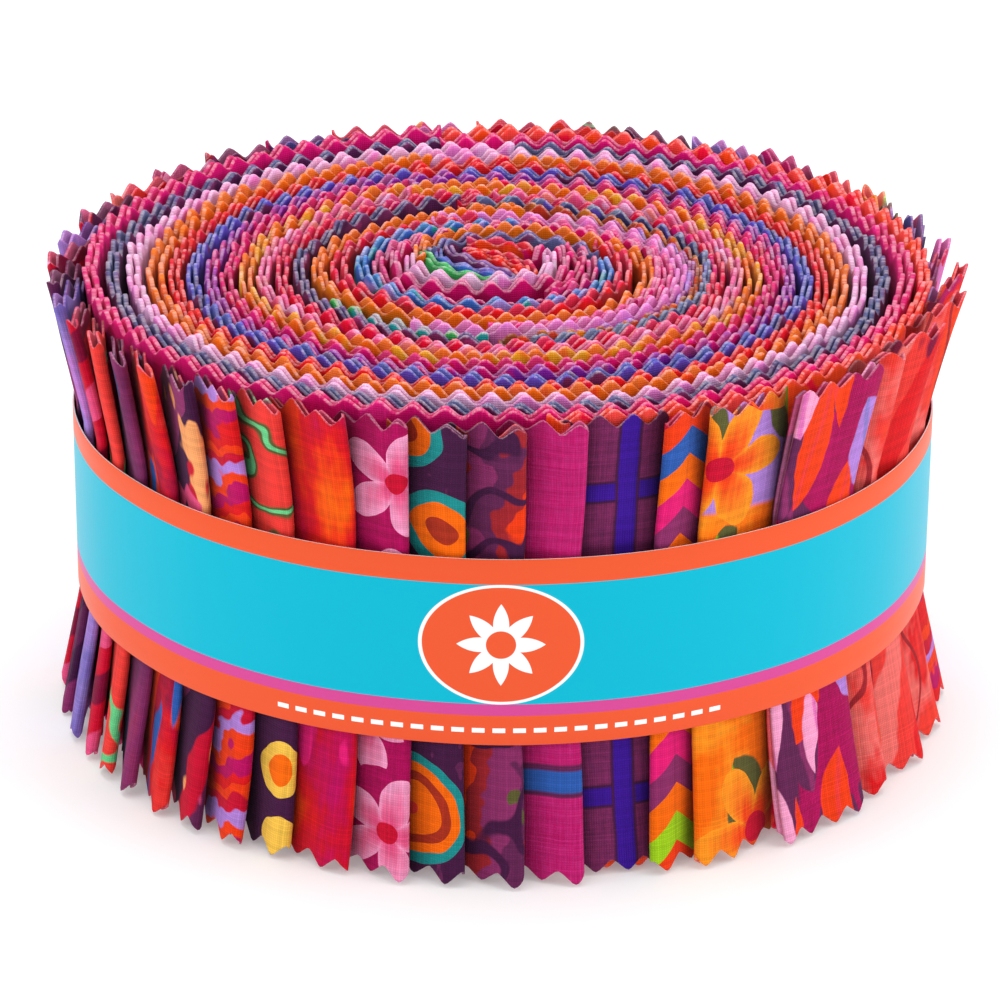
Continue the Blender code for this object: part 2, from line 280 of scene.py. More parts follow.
# The wound strips' cottons: up to three colours of the print, and the paler wrong side
WOUND_COTTONS = {
    "coral_ring": (("coral", "vermilion", "crimson"), "soft_salmon"),
    "magenta_ring": (("magenta", "magenta", "hot_pink"), "rose"),
    "plum_slate_ring": (("dark_plum", "plum", "dark_plum"), "slate_blue"),
    "pale_pink_ring": (("pale_pink", "pink", "pale_pink"), "blush"),
    "orange_ring": (("bright_orange", "bright_orange", "vermilion"), "soft_peach"),
    "red_ring": (("red", "crimson", "red"), "soft_salmon"),
    "slate_violet_ring": (("violet", "violet", "plum"), "slate_blue"),
    "purple_ring": (("purple", "magenta", "dusty_plum"), "orchid"),
    "hot_magenta_ring": (("magenta", "hot_pink", "crimson"), "rose"),
    "amber_ring": (("bright_orange", "amber", "bright_orange"), "soft_peach"),
    "salmon_ring": (("rose", "salmon", "pale_pink"), "soft_pink"),
    "crimson_ring": (("crimson", "crimson", "magenta"), "rose"),
    "plum_teal_ring": (("plum", "dark_plum", "dusty_plum"), "slate_blue"),
    "teal_fold": (("teal", "green", "teal"), "blush"),
    "hot_pink_ring": (("hot_pink", "magenta", "rose"), "soft_pink"),
    "lilac_pink_ring": (("pink", "orchid", "pale_pink"), "soft_pink"),
    "dusty_purple_ring": (("dusty_plum", "lavender", "plum"), "orchid"),
    "russet_ring": (("rust", "orange", "vermilion"), "olive"),
    "navy_ring": (("navy", "slate", "violet"), "pale_slate"),
    "flame_ring": (("bright_orange", "bright_orange", "orange"), "soft_peach"),
    "scarlet_ring": (("red", "crimson", "brick"), "rose"),
    "slate_arc": (("slate", "plum", "plum"), "lavender"),
    "blue_ring": (("blue", "lavender", "teal"), "sky"),
    "plum_pink_ring": (("magenta", "deep_magenta", "dusty_plum"), "soft_pink"),
    "magenta_fold": (("magenta", "hot_pink", "magenta"), "rose"),
    "pink_loop": (("magenta", "deep_magenta", "magenta"), "pale_pink"),
    "pale_loop": (("pale_pink", "pink", "blush"), "blush"),
    "flame_fold": (("red", "vermilion", "red"), "vermilion"),
    "crimson_fold": (("crimson", "magenta", "vermilion"), "soft_salmon"),
    "lavender_fold": (("plum", "plum", "lavender"), "lilac"),
    "blue_fold": (("blue", "violet", "blue"), "lavender"),
    "green_fold": (("green", "green", "mint"), "mint"),
}

WoundStrip = namedtuple("WoundStrip", "cloth turns spread lift slip")

# The strips of the coil, outermost first: the turns that each makes, how far its two plies stand
# apart at the top, how much higher or lower its cut edge lies, and how far the teeth of the two
# plies are out of step, in teeth
COIL = [WoundStrip(*row) for row in (
    ("magenta_ring", 1.0, 0.9, 0.15, 0.04),
    ("plum_slate_ring", 0.97, 0.85, -0.1, -0.06),
    ("pale_pink_ring", 1.04, 0.9, 0.1, 0.08),
    ("orange_ring", 0.96, 1.2, 0.0, 0.45),
    ("red_ring", 1.05, 0.95, -0.15, 0.1),
    ("slate_violet_ring", 0.98, 0.95, 0.0, -0.08),
    ("purple_ring", 1.03, 1.0, -0.1, 0.12),
    ("hot_magenta_ring", 0.95, 1.1, 0.0, 0.35),
    ("amber_ring", 1.06, 1.25, 0.1, 0.5),
    ("salmon_ring", 0.94, 0.95, 0.1, 0.1),
    ("crimson_ring", 1.03, 1.0, -0.1, 0.14),
    ("plum_teal_ring", 0.45, 0.85, -0.1, 0.05),
)]
TURN_PITCH = 2.335
COIL_RADIUS = 53.8
COIL_START = 190.0
POINTS_IN_TURN = 240

PartTurn = namedtuple("PartTurn", "cloth radius start turns spread lift slip")

# Strips that go only part of the way round: one outside the coil, the others close inside it
PART_TURNS = [PartTurn(*row) for row in (
    ("coral_ring", 54.6, 6.0, 0.51, 0.8, 0.1, 0.1),
    ("navy_ring", 27.9, 8.0, 0.5, 0.5, 0.0, 0.2),
    ("russet_ring", 26.8, 0.0, 0.54, 0.5, -0.3, 0.3),
    ("dusty_purple_ring", 25.6, 14.0, 0.4, 0.5, -0.6, 0.1),
    ("teal_fold", 25.75, -62.0, 0.16, 0.6, -0.5, 0.0),
)]

RoutedStrip = namedtuple("RoutedStrip", "cloth spread lift fall slip teeth route")

# The strips of the middle, each along its own route seen from above, from its open ends to its
# fold. Fall is how much lower it lies at the front for each millimetre, and teeth is how deep its
# teeth look beside those of the coil
ROUTED_STRIPS = [RoutedStrip(*row) for row in (
    ("lilac_pink_ring", 1.1, 0.1, 0.0, 0.3, 1.0, (
        (-12, -21.6), (-6, -23.4), (1, -23.6), (8, -22.2), (15, -18.4), (20.6, -12.2), (23.4, -4.8),
        (23.4, 2.4), (20.8, 9.4), (15.4, 15.4), (8.4, 19.4), (0.6, 21.2), (-6, 20.8),
        (-9.4, 19.4))),
    ("hot_pink_ring", 0.9, -0.2, 0.0, 0.2, 0.9, (
        (-2, -22), (6, -21), (13, -17.4), (18.6, -11.8), (21.7, -4.6), (21.8, 2.2), (19.2, 8.8),
        (13.8, 14.4), (7.2, 17.9), (1.2, 19.2))),
    ("flame_ring", 1.15, 0.1, 0.0, 0.4, 1.0, (
        (3, 23.4), (-4.4, 22.8), (-11.6, 20), (-18.4, 15), (-23.2, 8.4), (-25, 1), (-24, -5.8),
        (-19.8, -12.8), (-13, -17.8), (-5, -20.2), (3, -20), (10, -17.6), (15.6, -12.6),
        (18.8, -5.8), (19.3, 1), (17, 7), (12.4, 11.4), (7, 14), (1.5, 14.8), (-4, 13.8),
        (-8.6, 11.2), (-11, 7.2), (-11.4, 3.4))),
    ("scarlet_ring", 1.4, 0.0, 0.0, 0.3, 0.9, (
        (-4, 20.2), (-9.6, 18.4), (-15.2, 14.8), (-19.8, 9.8), (-22.2, 3.4), (-21.9, -3),
        (-19, -9.2), (-13.5, -14.2), (-7, -17), (0, -17.4), (6.5, -15.8), (11.8, -12),
        (15.2, -6.6), (16.3, -0.5), (15.6, 5), (13, 9.2))),
    ("blue_ring", 1.1, 0.0, 0.0, 0.1, 0.9, (
        (4, 17.8), (-1, 17.7), (-7.2, 16.2), (-13, 12.9), (-17.4, 8), (-19.2, 2.2), (-18.4, -3.6),
        (-15, -9), (-9.5, -12.8), (-3, -14.5), (3.6, -13.7), (9, -11), (12.6, -6.8), (14, -1.6),
        (13.2, 2.8))),
    ("slate_arc", 0.9, 0.1, 0.0, 0.1, 0.8, (
        (12.3, 5), (9.8, 8), (5.8, 10.8), (1, 11.9), (-3.6, 11.4), (-7.4, 9.2), (-9.4, 5.8))),
    ("plum_pink_ring", 1.1, -0.1, 0.09, 0.4, 0.9, (
        (-10.8, 12.2), (-14.4, 8.6), (-16.6, 4), (-16.6, -1), (-14, -6), (-9.6, -9.6), (-4, -11.2),
        (1.6, -11.2), (6.8, -9.4), (10.4, -5.4), (11.9, -0.4), (11.3, 4.2), (9.2, 7.6))),
    ("magenta_fold", 0.9, -0.2, 0.04, 0.5, 0.6, (
        (6, -8), (8.4, -5), (10, -1.2), (10.1, 3), (8.6, 6.6))),
    ("pink_loop", 0.5, 0.0, 0.02, 0.02, 1.05, (
        (15, -15.6), (19.2, -9), (20.6, -2.5), (20.3, 3.6), (17.4, 9.2), (12, 13.4), (5, 16),
        (-2, 15.8), (-8, 13.2), (-12.4, 9.2), (-14.5, 4.6), (-14.6, 0), (-12.8, -3.8), (-9.4, -6.4),
        (-5.9, -7.5), (-2.4, -7.9), (1, -7.3), (4.4, -5.8), (7.2, -3), (8.3, 0.6), (8.1, 4.4),
        (7, 7.4), (5.4, 7.6), (4.2, 5.2))),
    ("pale_loop", 0.9, 0.2, 0.0, 0.02, 1.0, (
        (-12.8, 3.4), (-12.4, -0.8), (-9.2, -4.4), (-5.9, -5.6), (-2.5, -6), (0.8, -5.5),
        (3.8, -4.2), (5.9, -1.8), (6.5, 1.6), (6, 4.8))),
    ("green_fold", 0.7, -0.6, 0.0, 0.2, 0.35, (
        (-10.9, 5.6), (-10.2, 2.8), (-8.6, 0.4), (-6.4, -1.6), (-4, -2.6), (-1.6, -3.6))),
    ("blue_fold", 0.7, -0.7, 0.0, 0.2, 0.35, (
        (-9, 6.6), (-8.6, 4), (-7.2, 1.6), (-5.2, -0.2), (-3, -1.6), (-0.6, -3.2))),
    ("lavender_fold", 0.9, -0.5, 0.0, 0.1, 0.3, (
        (-7.2, 7.6), (-6.8, 5.4), (-4.9, 3.4), (-2.9, 1.2), (-0.8, -0.9), (1, -3.2))),
    ("flame_fold", 1.0, -0.5, 0.0, 0.2, 0.4, (
        (-5.2, 5.6), (-2.8, 4.6), (-0.8, 2.8), (1.2, 0.6), (2.4, -2))),
    ("crimson_fold", 0.9, -0.6, 0.0, 0.5, 0.5, (
        (-5.4, 7.6), (-2.4, 6.8), (0.4, 5.2), (2.6, 3), (3.8, 0.4), (4, -2))),
    ("crimson_fold", 0.9, -0.3, 0.0, 0.5, 0.5, (
        (-5, 9.6), (-1.8, 9.7), (1.4, 8.8), (3.4, 7.4))),
)]

# Painted shade: how far the colour is darkened in the notches at a radius, and beside the fold of
# the next end, where shadow falls
NOTCH_RADII = (48.0, 53.0)
NOTCH_SHADE_AMOUNTS = (0.45, 0.18)
CREASE_SHADE_REACH = 1.5
CREASE_SHADE_AMOUNT = 0.62

# How far the wound ends are sunk below the rim at a radius
SINK_RADII = (0.0, 10.0, 20.0, 40.0, 50.0, 53.0, 55.0)
SINK_DEPTHS = (0.8, 0.8, 1.0, 1.2, 0.8, 0.4, 0.0)


def linear(colour_name):
    """A palette colour as linear RGBA."""
    code = PALETTE[colour_name]
    shares = [int(code[i:i + 2], 16) / 255.0 for i in (1, 3, 5)]
    return (*[s / 12.92 if s <= 0.04045 else ((s + 0.055) / 1.055) ** 2.4 for s in shares], 1.0)


def smooth(share):
    """0 to 1 with a soft start and end."""
    share = np.clip(share, 0.0, 1.0)
    return share * share * (3.0 - 2.0 * share)


# ---------------------------------------------------------------- sizes that a user would change

def number_prop(name, description, default, **kind):
    return bpy.props.FloatProperty(name=name, description=description, default=default, **kind)


def length_prop(name, description, default, precision=2):
    return number_prop(name, description, default, unit="LENGTH", subtype="DISTANCE",
                       precision=precision)


def power_prop(name, description, default):
    return number_prop(name, description, default, min=0.0, unit="POWER")


def angle_prop(name, description, degrees):
    return number_prop(name, description, math.radians(degrees), subtype="ANGLE", unit="ROTATION")


def colour_prop(name, description, *default):
    return bpy.props.FloatVectorProperty(name=name, description=description, default=default,
                                         size=3, min=0.0, max=1.0, subtype="COLOR")


class RollSizes(bpy.types.PropertyGroup):
    """Sizes of the strips and of how they are wound"""
    strip_width: length_prop("Strip Width", "Width of a strip from tooth tip to tooth tip",
                             CAD_HIGH.z - CAD_LOW.z)
    tooth_pitch: length_prop("Tooth Pitch", "Length of one tooth of the pinked edge", 0.004, 4)
    tooth_depth: length_prop("Tooth Depth", "Depth of a tooth of the pinked edge", 0.0019, 4)
    cloth_thickness: length_prop("Cloth Thickness", "Thickness of one ply of cotton", 0.00034, 5)
    paper_thickness: length_prop("Paper Thickness", "Thickness of the paper band", 0.00025, 5)
    yarn_pitch: length_prop("Yarn Pitch", "Distance between two yarns of the weave", 0.0003, 5)


class BandLook(bpy.types.PropertyGroup):
    """Colours and stripe heights of the paper band"""
    ground: colour_prop("Ground", "Colour of the band's wide middle stripe", 0.0, 0.49, 0.66)
    border: colour_prop("Border", "Colour of the two borders", 0.86, 0.105, 0.032)
    line: colour_prop("Line", "Colour of the thin stripe above the lower border", 0.68, 0.07, 0.31)
    lower_border: length_prop("Lower Border", "Depth of the lower border", 0.0041, 4)
    thin_line: length_prop("Thin Stripe", "Depth of the thin stripe", 0.0016, 4)
    upper_border: length_prop("Upper Border", "Depth of the upper border", 0.0034, 4)
    badge_width: length_prop("Badge Width", "Width of the plain oval badge at the front", 0.021)
    badge_height: length_prop("Badge Height", "Height of the plain oval badge at the front", 0.0165)


class StageLook(bpy.types.PropertyGroup):
    """Floor, light and camera"""
    floor_colour: colour_prop("Floor", "Colour of the floor", 0.86, 0.86, 0.86)
    floor_glow: number_prop("Floor Glow", "How much the floor is lit from below", 0.22, min=0.0)
    sky_strength: number_prop("Sky", "Strength of the even light from all round", 0.62, min=0.0)
    key_power: power_prop("Key Light", "Power of the large soft light above the front", 0.6)
    left_power: power_prop("Left Light", "Power of the soft light at the left", 1.7)
    right_power: power_prop("Right Light", "Power of the soft light at the right", 2.6)
    top_power: power_prop("Top Light", "Power of the large soft light overhead", 4.0)
    distance: length_prop("Camera Distance", "Distance from the camera to where it looks", 0.6084)
    elevation: angle_prop("Camera Elevation", "Height of the camera above the horizon", 22.89)
    roll: angle_prop("Camera Roll", "Tilt of the picture", 0.4)
    lens: number_prop("Focal Length", "Focal length in mm on a 36 mm sensor", 159.6, min=1.0)


# ---------------------------------------------------------------- node wiring

class Wiring:
    """Adds nodes to a tree. A value handed in is a number, a colour or another node's socket."""

    def __init__(self, tree):
        self.tree = tree

    def feed(self, socket, value):
        if isinstance(value, bpy.types.NodeSocket):
            self.tree.links.new(value, socket)
        else:
            socket.default_value = value

    def add(self, kind, inputs=None, **settings):
        node = self.tree.nodes.new(kind)
        for key, value in settings.items():
            setattr(node, key, value)
        for key, value in (inputs or {}).items():
            self.feed(node.inputs[key], value)
        return node

    def calc(self, operation, first, second=0.0, third=0.0):
        inputs = {0: first, 1: second, 2: third}
        return self.add("ShaderNodeMath", inputs, operation=operation).outputs[0]

    plus = partialmethod(calc, "ADD")
    minus = partialmethod(calc, "SUBTRACT")
    times = partialmethod(calc, "MULTIPLY")
    over = partialmethod(calc, "DIVIDE")
    scaled = partialmethod(calc, "MULTIPLY_ADD")
    below = partialmethod(calc, "LESS_THAN")
    positive = partialmethod(calc, "ABSOLUTE")

    def apart(self, first, second):
        """How far two values lie apart."""
        return self.positive(self.minus(first, second))

    def hypot(self, x, y):
        return self.calc("SQRT", self.plus(self.times(x, x), self.times(y, y)))

    def repeat(self, value, spacing):
        """0 to 1 over each spacing, again and again."""
        return self.calc("FRACT", self.over(value, spacing))

    def mix(self, share, first, second):
        """first where share is 0, second where it is 1; colours or sockets."""
        node = self.add("ShaderNodeMix", {0: share, 6: first, 7: second}, data_type="RGBA")
        return node.outputs[2]

    def between(self, value, low, high):
        """0 below low, 1 above high, and a soft step between them."""
        inputs = {0: value, 1: low, 2: high, 3: 0.0, 4: 1.0}
        return self.add("ShaderNodeMapRange", inputs, interpolation_type="SMOOTHSTEP").outputs[0]

    def ramp(self, value, stops, blend="LINEAR"):
        """A colour for a value, from (place, palette name) stops."""
        node = self.add("ShaderNodeValToRGB", {0: value})
        node.color_ramp.interpolation = blend
        elements = node.color_ramp.elements
        while len(elements) < len(stops):
            elements.new(1.0)
        for element, (place, colour_name) in zip(elements, stops):
            element.position = place
            element.color = linear(colour_name)
        return node.outputs[0]

    def noise(self, at, size, detail=2.0, rough=0.5, output=0):
        """Soft noise whose patches are about size across."""
        inputs = {"Vector": at, "Scale": 1.0 / size, "Detail": detail, "Roughness": rough}
        return self.add("ShaderNodeTexNoise", inputs).outputs[output]

    def cells(self, at, size, output, uneven):
        """Scattered cells about size apart."""
        inputs = {"Vector": at, "Scale": 1.0 / size, "Randomness": uneven}
        return self.add("ShaderNodeTexVoronoi", inputs, feature="F1").outputs[output]

    def some(self, at, size, uneven, share):
        """1 in a random share of the cells."""
        return self.below(self.parts(self.cells(at, size, "Color", uneven))[0], share)

    def in_cells(self, at, size, uneven):
        """How far across and up a place lies from the middle of its cell, in cells."""
        off = self.vector("SUBTRACT", at, self.cells(at, size, "Position", uneven))
        return self.parts(self.vector("SCALE", off, scale=1.0 / size))

    def moved(self, at, turn=0.0, stretch=(1.0, 1.0), shift=(0.0, 0.0)):
        """The cloth's coordinates turned, stretched and shifted."""
        inputs = {"Vector": at, "Location": (*shift, 0.0),
                  "Rotation": (0.0, 0.0, math.radians(turn)), "Scale": (*stretch, 1.0)}
        return self.add("ShaderNodeMapping", inputs).outputs[0]

    def vector(self, operation, first, second=(0.0, 0.0, 0.0), scale=1.0):
        node = self.add("ShaderNodeVectorMath", {0: first, 1: second}, operation=operation)
        if operation == "SCALE":
            self.feed(node.inputs["Scale"], scale)
        return node.outputs[0]

    def parts(self, vector):
        return self.add("ShaderNodeSeparateXYZ", {0: vector}).outputs[:2]

    def wobbled(self, at, size, reach):
        """The cloth's coordinates pushed about by soft noise, so that drawn lines look painted."""
        push = self.vector("SUBTRACT", self.noise(at, size, output=1), (0.5, 0.5, 0.5))
        return self.vector("ADD", at, self.vector("SCALE", push, scale=reach))

    def drawn_on(self, uv_name):
        """The coordinates of a piece's cloth or paper, in millimetres."""
        return self.add("ShaderNodeUVMap", uv_map=uv_name).outputs[0]

    def read(self, attribute):
        return self.add("ShaderNodeAttribute", attribute_name=attribute).outputs["Fac"]

    def roughen(self, shader, strength, distance, height):
        bump = self.add("ShaderNodeBump",
                        {"Strength": strength, "Distance": distance, "Height": height})
        self.feed(shader.inputs["Normal"], bump.outputs[0])


def new_material(name):
    """A material, its wiring and its shader."""
    material = bpy.data.materials.new(name)
    material.use_nodes = True
    return material, Wiring(material.node_tree), material.node_tree.nodes["Principled BSDF"]


# ---------------------------------------------------------------- prints, in millimetres of cloth

def plain(w, at, name):
    """One dye."""
    return linear(name)


def washed(w, at, colours, size, turn=0.0, stretch=1.0):
    """Dyes that run into each other."""
    value = w.between(w.noise(w.moved(at, turn, (1.0, stretch)), size, 4.0, 0.6), 0.3, 0.7)
    last = len(colours) - 1
    return w.ramp(value, [(i / last, name) for i, name in enumerate(colours)])


def marbled(w, at, colours, size, turn, reach=6.0):
    """Wandering bands of flat colours."""
    x, _ = w.parts(w.moved(w.wobbled(at, size * 2.6, reach), turn))
    count = len(colours)
    stops = []
    for i, name in enumerate(colours):
        stops += [(i / count + 0.012, name), ((i + 1) / count - 0.012, name)]
    return w.ramp(w.repeat(x, size * count), stops)


def zigzagged(w, at, colours, depth, width, rise):
    """Chevrons, one above another."""
    x, y = w.parts(w.wobbled(at, 7.0, 0.8))
    fold = w.apart(w.repeat(x, width), 0.5)
    count = len(colours)
    level = w.repeat(w.plus(y, w.times(fold, rise)), depth * count)
    return w.ramp(level, [(i / count, name) for i, name in enumerate(colours)], "CONSTANT")


def shot(w, at, first, second):
    """A plain cloth with one colour of yarn across another."""
    up = w.noise(w.moved(at, 0.0, (4.0, 0.3)), 1.2, 3.0, 0.7)
    along = w.noise(w.moved(at, 0.0, (0.3, 4.0)), 1.2, 3.0, 0.7)
    grain = w.times(w.plus(up, along), 0.5)
    return w.mix(w.between(grain, 0.3, 0.7), linear(first), linear(second))


def ringed(w, at, ground, rings, cell, reach, share):
    """Hand-drawn rings inside each other, scattered on a ground."""
    place = w.wobbled(at, cell * 0.6, cell * 0.18)
    distance = w.cells(place, cell, "Distance", 0.55)
    stops = [(reach * i / len(rings), name) for i, name in enumerate(rings)]
    shown = w.times(w.below(distance, reach), w.some(place, cell, 0.55, share))
    return w.mix(shown, ground, w.ramp(distance, stops, "CONSTANT"))


def blossoming(w, at, ground, petal, tip, heart, cell, petals, share):
    """Scattered open blossoms."""
    place = w.wobbled(at, cell * 0.35, cell * 0.1)
    x, y = w.in_cells(place, cell, 0.6)
    reach = w.hypot(x, y)
    lobe = w.positive(w.calc("COSINE", w.times(w.calc("ARCTAN2", y, x), petals / 2.0)))
    edge = w.scaled(lobe, 0.24, 0.16)
    shown = w.times(w.below(reach, edge), w.some(place, cell, 0.6, share))
    veins = w.noise(w.moved(at, 20.0, (1.0, 0.2)), 0.8)
    faded = w.between(w.plus(w.over(reach, edge), w.times(veins, 0.5)), 0.4, 1.3)
    petal_colour = w.mix(faded, linear(petal), linear(tip))
    return w.mix(shown, ground, w.mix(w.below(reach, 0.075), petal_colour, linear(heart)))


def barred(w, at, ground, bar, rim, across, up, width):
    """A windowpane of bars with soft darker rims."""
    x, y = w.parts(w.wobbled(at, 9.0, 0.7))
    for value, spacing in ((y, up), (x, across)):
        gap = w.times(w.apart(w.repeat(value, spacing), 0.5), spacing)
        for name, outside, inside in ((rim, 0.55, 0.15), (bar, 0.1, -0.15)):
            shown = w.between(gap, width * 0.5 + outside, width * 0.5 + inside)
            ground = w.mix(shown, ground, linear(name))
    return ground


def bladed(w, at, ground, blade, vein, turn, length, slim, share):
    """Long pointed leaves that all lean one way."""
    place = w.moved(w.wobbled(at, 6.0, 1.6), turn, (1.0 / slim, 1.0))
    x, y = w.in_cells(place, length, 0.9)
    across = w.positive(x)
    edge = w.minus(0.36, w.times(w.times(y, y), 1.5))
    inside = w.between(w.minus(edge, across), 0.0, 0.03)
    leaf = w.mix(w.between(across, 0.07, 0.02), linear(blade), linear(vein))
    return w.mix(w.times(inside, w.some(place, length, 0.9, share)), ground, leaf)


def striped(w, at, ground, *stripes):
    """Level stripes, each (height, half depth, palette name)."""
    _, y = w.parts(w.wobbled(at, 12.0, 0.5))
    for height, half, name in stripes:
        ground = w.mix(w.between(w.apart(y, height), half + 0.2, half - 0.2), ground, linear(name))
    return ground


def scrolled(w, at, ground, line, size, width, level):
    """Wandering loops of an even line."""
    off = w.apart(w.noise(at, size, 1.0, 0.4), level)
    return w.mix(w.between(off, width * 1.25, width * 0.75), ground, linear(line))


def dabbed(w, at, ground, dab, size, turn, stretch, level):
    """Brush marks that lean one way."""
    value = w.noise(w.moved(at, turn, (1.0, stretch)), size, 2.0, 0.55)
    return w.mix(w.between(value, level - 0.012, level + 0.012), ground, linear(dab))


def topped(w, at, ground, name, height):
    """Another dye above a wandering line."""
    _, y = w.parts(w.wobbled(at, 10.0, 5.0))
    return w.mix(w.between(y, height, height + 1.0), ground, linear(name))


def footed(w, at, ground, high, low, *layers):
    """Another print below a level."""
    _, y = w.parts(at)
    return w.mix(w.between(y, high, low), ground, layered(w, at, layers))


def laid(painter, shift=(0.0, 0.0), stretch=1.0):
    """A painter whose motifs are shifted over the cloth, or stretched upwards."""
    def paint(w, at, *settings):
        return painter(w, w.moved(at, 0.0, (1.0, stretch), shift), *settings)
    return paint


def layered(w, at, layers):
    """A print: its ground's painter and settings, and then those of each layer over it."""
    (base, *settings), *others = layers
    painted = base(w, at, *settings)
    for paint, *settings in others:
        painted = paint(w, at, painted, *settings)
    return painted


PRINTS = {
    "plum_marble": (
        (marbled, ("dark_plum", "plum", "dark_plum", "dusty_plum"), 3.4, 35.0),
        (dabbed, "magenta", 5.0, 25.0, 0.4, 0.66)),
    "lilac_wash": (
        (washed, ("violet", "lavender", "lilac", "orchid"), 13.0, 15.0, 0.4),
        (dabbed, "indigo", 6.0, -20.0, 0.3, 0.64)),
    "crimson_slant": (
        (marbled, ("crimson", "wine", "crimson", "rose"), 3.6, 62.0, 5.0),
        (dabbed, "pale_pink", 6.0, 60.0, 0.3, 0.65)),
    "coral_scroll": (
        (plain, "coral"),
        (laid(ringed, (2.0, 5.0)), ("orange", "plum", "coral"), 11.0, 0.32, 0.5),
        (scrolled, "mint", 11.0, 0.022, 0.44)),
    "plum_stroke": (
        (washed, ("brick", "dusty_plum", "plum"), 12.0, 10.0, 0.4),
        (dabbed, "navy", 6.0, 8.0, 0.25, 0.6)),
    "crimson_band": (
        (washed, ("wine", "crimson", "red", "coral"), 12.0, 30.0),
        (dabbed, "vermilion", 8.0, 65.0, 0.35, 0.58),
        (laid(dabbed, (31.0, 12.0)), "blue", 7.0, 62.0, 0.25, 0.6)),
    "plum_blotch": (
        (marbled, ("dark_plum", "crimson", "plum", "dusty_plum"), 4.0, 25.0, 9.0),
        (dabbed, "peach", 7.0, 12.0, 0.5, 0.61),
        (laid(dabbed, (17.0, 9.0)), "rose", 7.0, 20.0, 0.5, 0.6)),
    "red_marble": (
        (marbled, ("vermilion", "crimson", "lilac", "vermilion", "magenta", "red"),
         1.9, 72.0, 9.0),),
    "coral_curl": (
        (plain, "coral"),
        (ringed, ("taupe", "taupe", "coral"), 7.5, 0.22, 0.5),
        (scrolled, "olive", 8.0, 0.05, 0.5),
        (scrolled, "mint", 8.0, 0.02, 0.5),
        (footed, 24.0, 20.0, (plain, "dark_plum"),
         (laid(ringed, (5.0, 3.0)), ("purple", "orange", "yellow", "dark_plum"), 10.5, 0.5, 0.95))),
    "red_wash": (
        (washed, ("magenta", "crimson", "red", "vermilion", "orange"), 12.0, 20.0, 0.4),
        (dabbed, "hot_pink", 7.0, 25.0, 0.3, 0.62)),
    "magenta_blossom": (
        (shot, "magenta", "deep_magenta"),
        (laid(blossoming, (3.0, 4.0)), "rose", "pale_pink", "crimson", 19.0, 5.0, 0.9)),
    "plum_ring": (
        (plain, "dark_plum"),
        (dabbed, "plum", 3.0, 0.0, 0.6, 0.6),
        (ringed, ("coral", "orange", "orange", "rust", "orange", "teal"), 20.0, 0.36, 0.85)),
    "rust_maze": (
        (marbled, ("brick", "dusty_plum", "plum", "brick", "vermilion"), 2.6, 12.0, 12.0),
        (dabbed, "olive", 5.0, 10.0, 0.5, 0.66),
        (scrolled, "dark_plum", 9.0, 0.034, 0.46)),
    "magenta_stripe": (
        (shot, "magenta", "shot_magenta"),
        (striped, (13.5, 2.1, "plum"), (13.4, 1.4, "blue"))),
    "plum_window": (
        (shot, "dusty_plum", "plum"),
        (barred, "indigo", "dark_plum", 11.5, 21.0, 2.4)),
    "violet_window": (
        (shot, "violet", "slate"),
        (barred, "magenta", "plum", 13.0, 16.0, 1.8)),
    "bright_chevron": (
        (zigzagged, ("vermilion", "lime", "orange", "dusty_plum", "hot_pink", "orange", "blue",
                     "vermilion", "crimson"), 3.8, 15.0, 13.0),),
    "orange_bloom": (
        (washed, ("orange", "orange", "amber"), 12.0),
        (topped, "lilac", 47.0),
        (laid(bladed, (7.0, 11.0)), "olive", "lime", 38.0, 17.0, 0.6, 0.5),
        (laid(blossoming, (9.0, 6.0)), "vermilion", "amber", "crimson", 26.0, 6.0, 0.7)),
    "magenta_blade": (
        (shot, "magenta", "deep_magenta"),
        (bladed, "plum", "dusty_plum", -24.0, 19.0, 0.5, 0.8),
        (laid(bladed, (21.0, 7.0)), "vermilion", "coral", 24.0, 21.0, 0.36, 0.5),
        (laid(bladed, (43.0, 2.0)), "pale_pink", "pink", -14.0, 17.0, 0.46, 0.4),
        (laid(bladed, (61.0, 8.0)), "lilac", "lavender", -32.0, 17.0, 0.5, 0.15)),
    "coral_wash": (
        (washed, ("coral", "red", "salmon", "coral", "vermilion"), 13.0, 15.0, 0.4),
        (laid(scrolled, stretch=0.5), "brick", 10.0, 0.015, 0.5)),
    "coral_marble": (
        (marbled, ("coral", "salmon", "coral", "red"), 4.6, 18.0, 9.0),
        (dabbed, "wine", 8.0, 18.0, 0.35, 0.64),
        (laid(dabbed, (19.0, 4.0)), "orange", 6.0, 25.0, 0.3, 0.65)),
    "pink_blossom": (
        (shot, "pink", "orchid"),
        (blossoming, "hot_pink", "crimson", "amber", 12.0, 5.0, 0.8)),
}


# ---------------------------------------------------------------- finishes

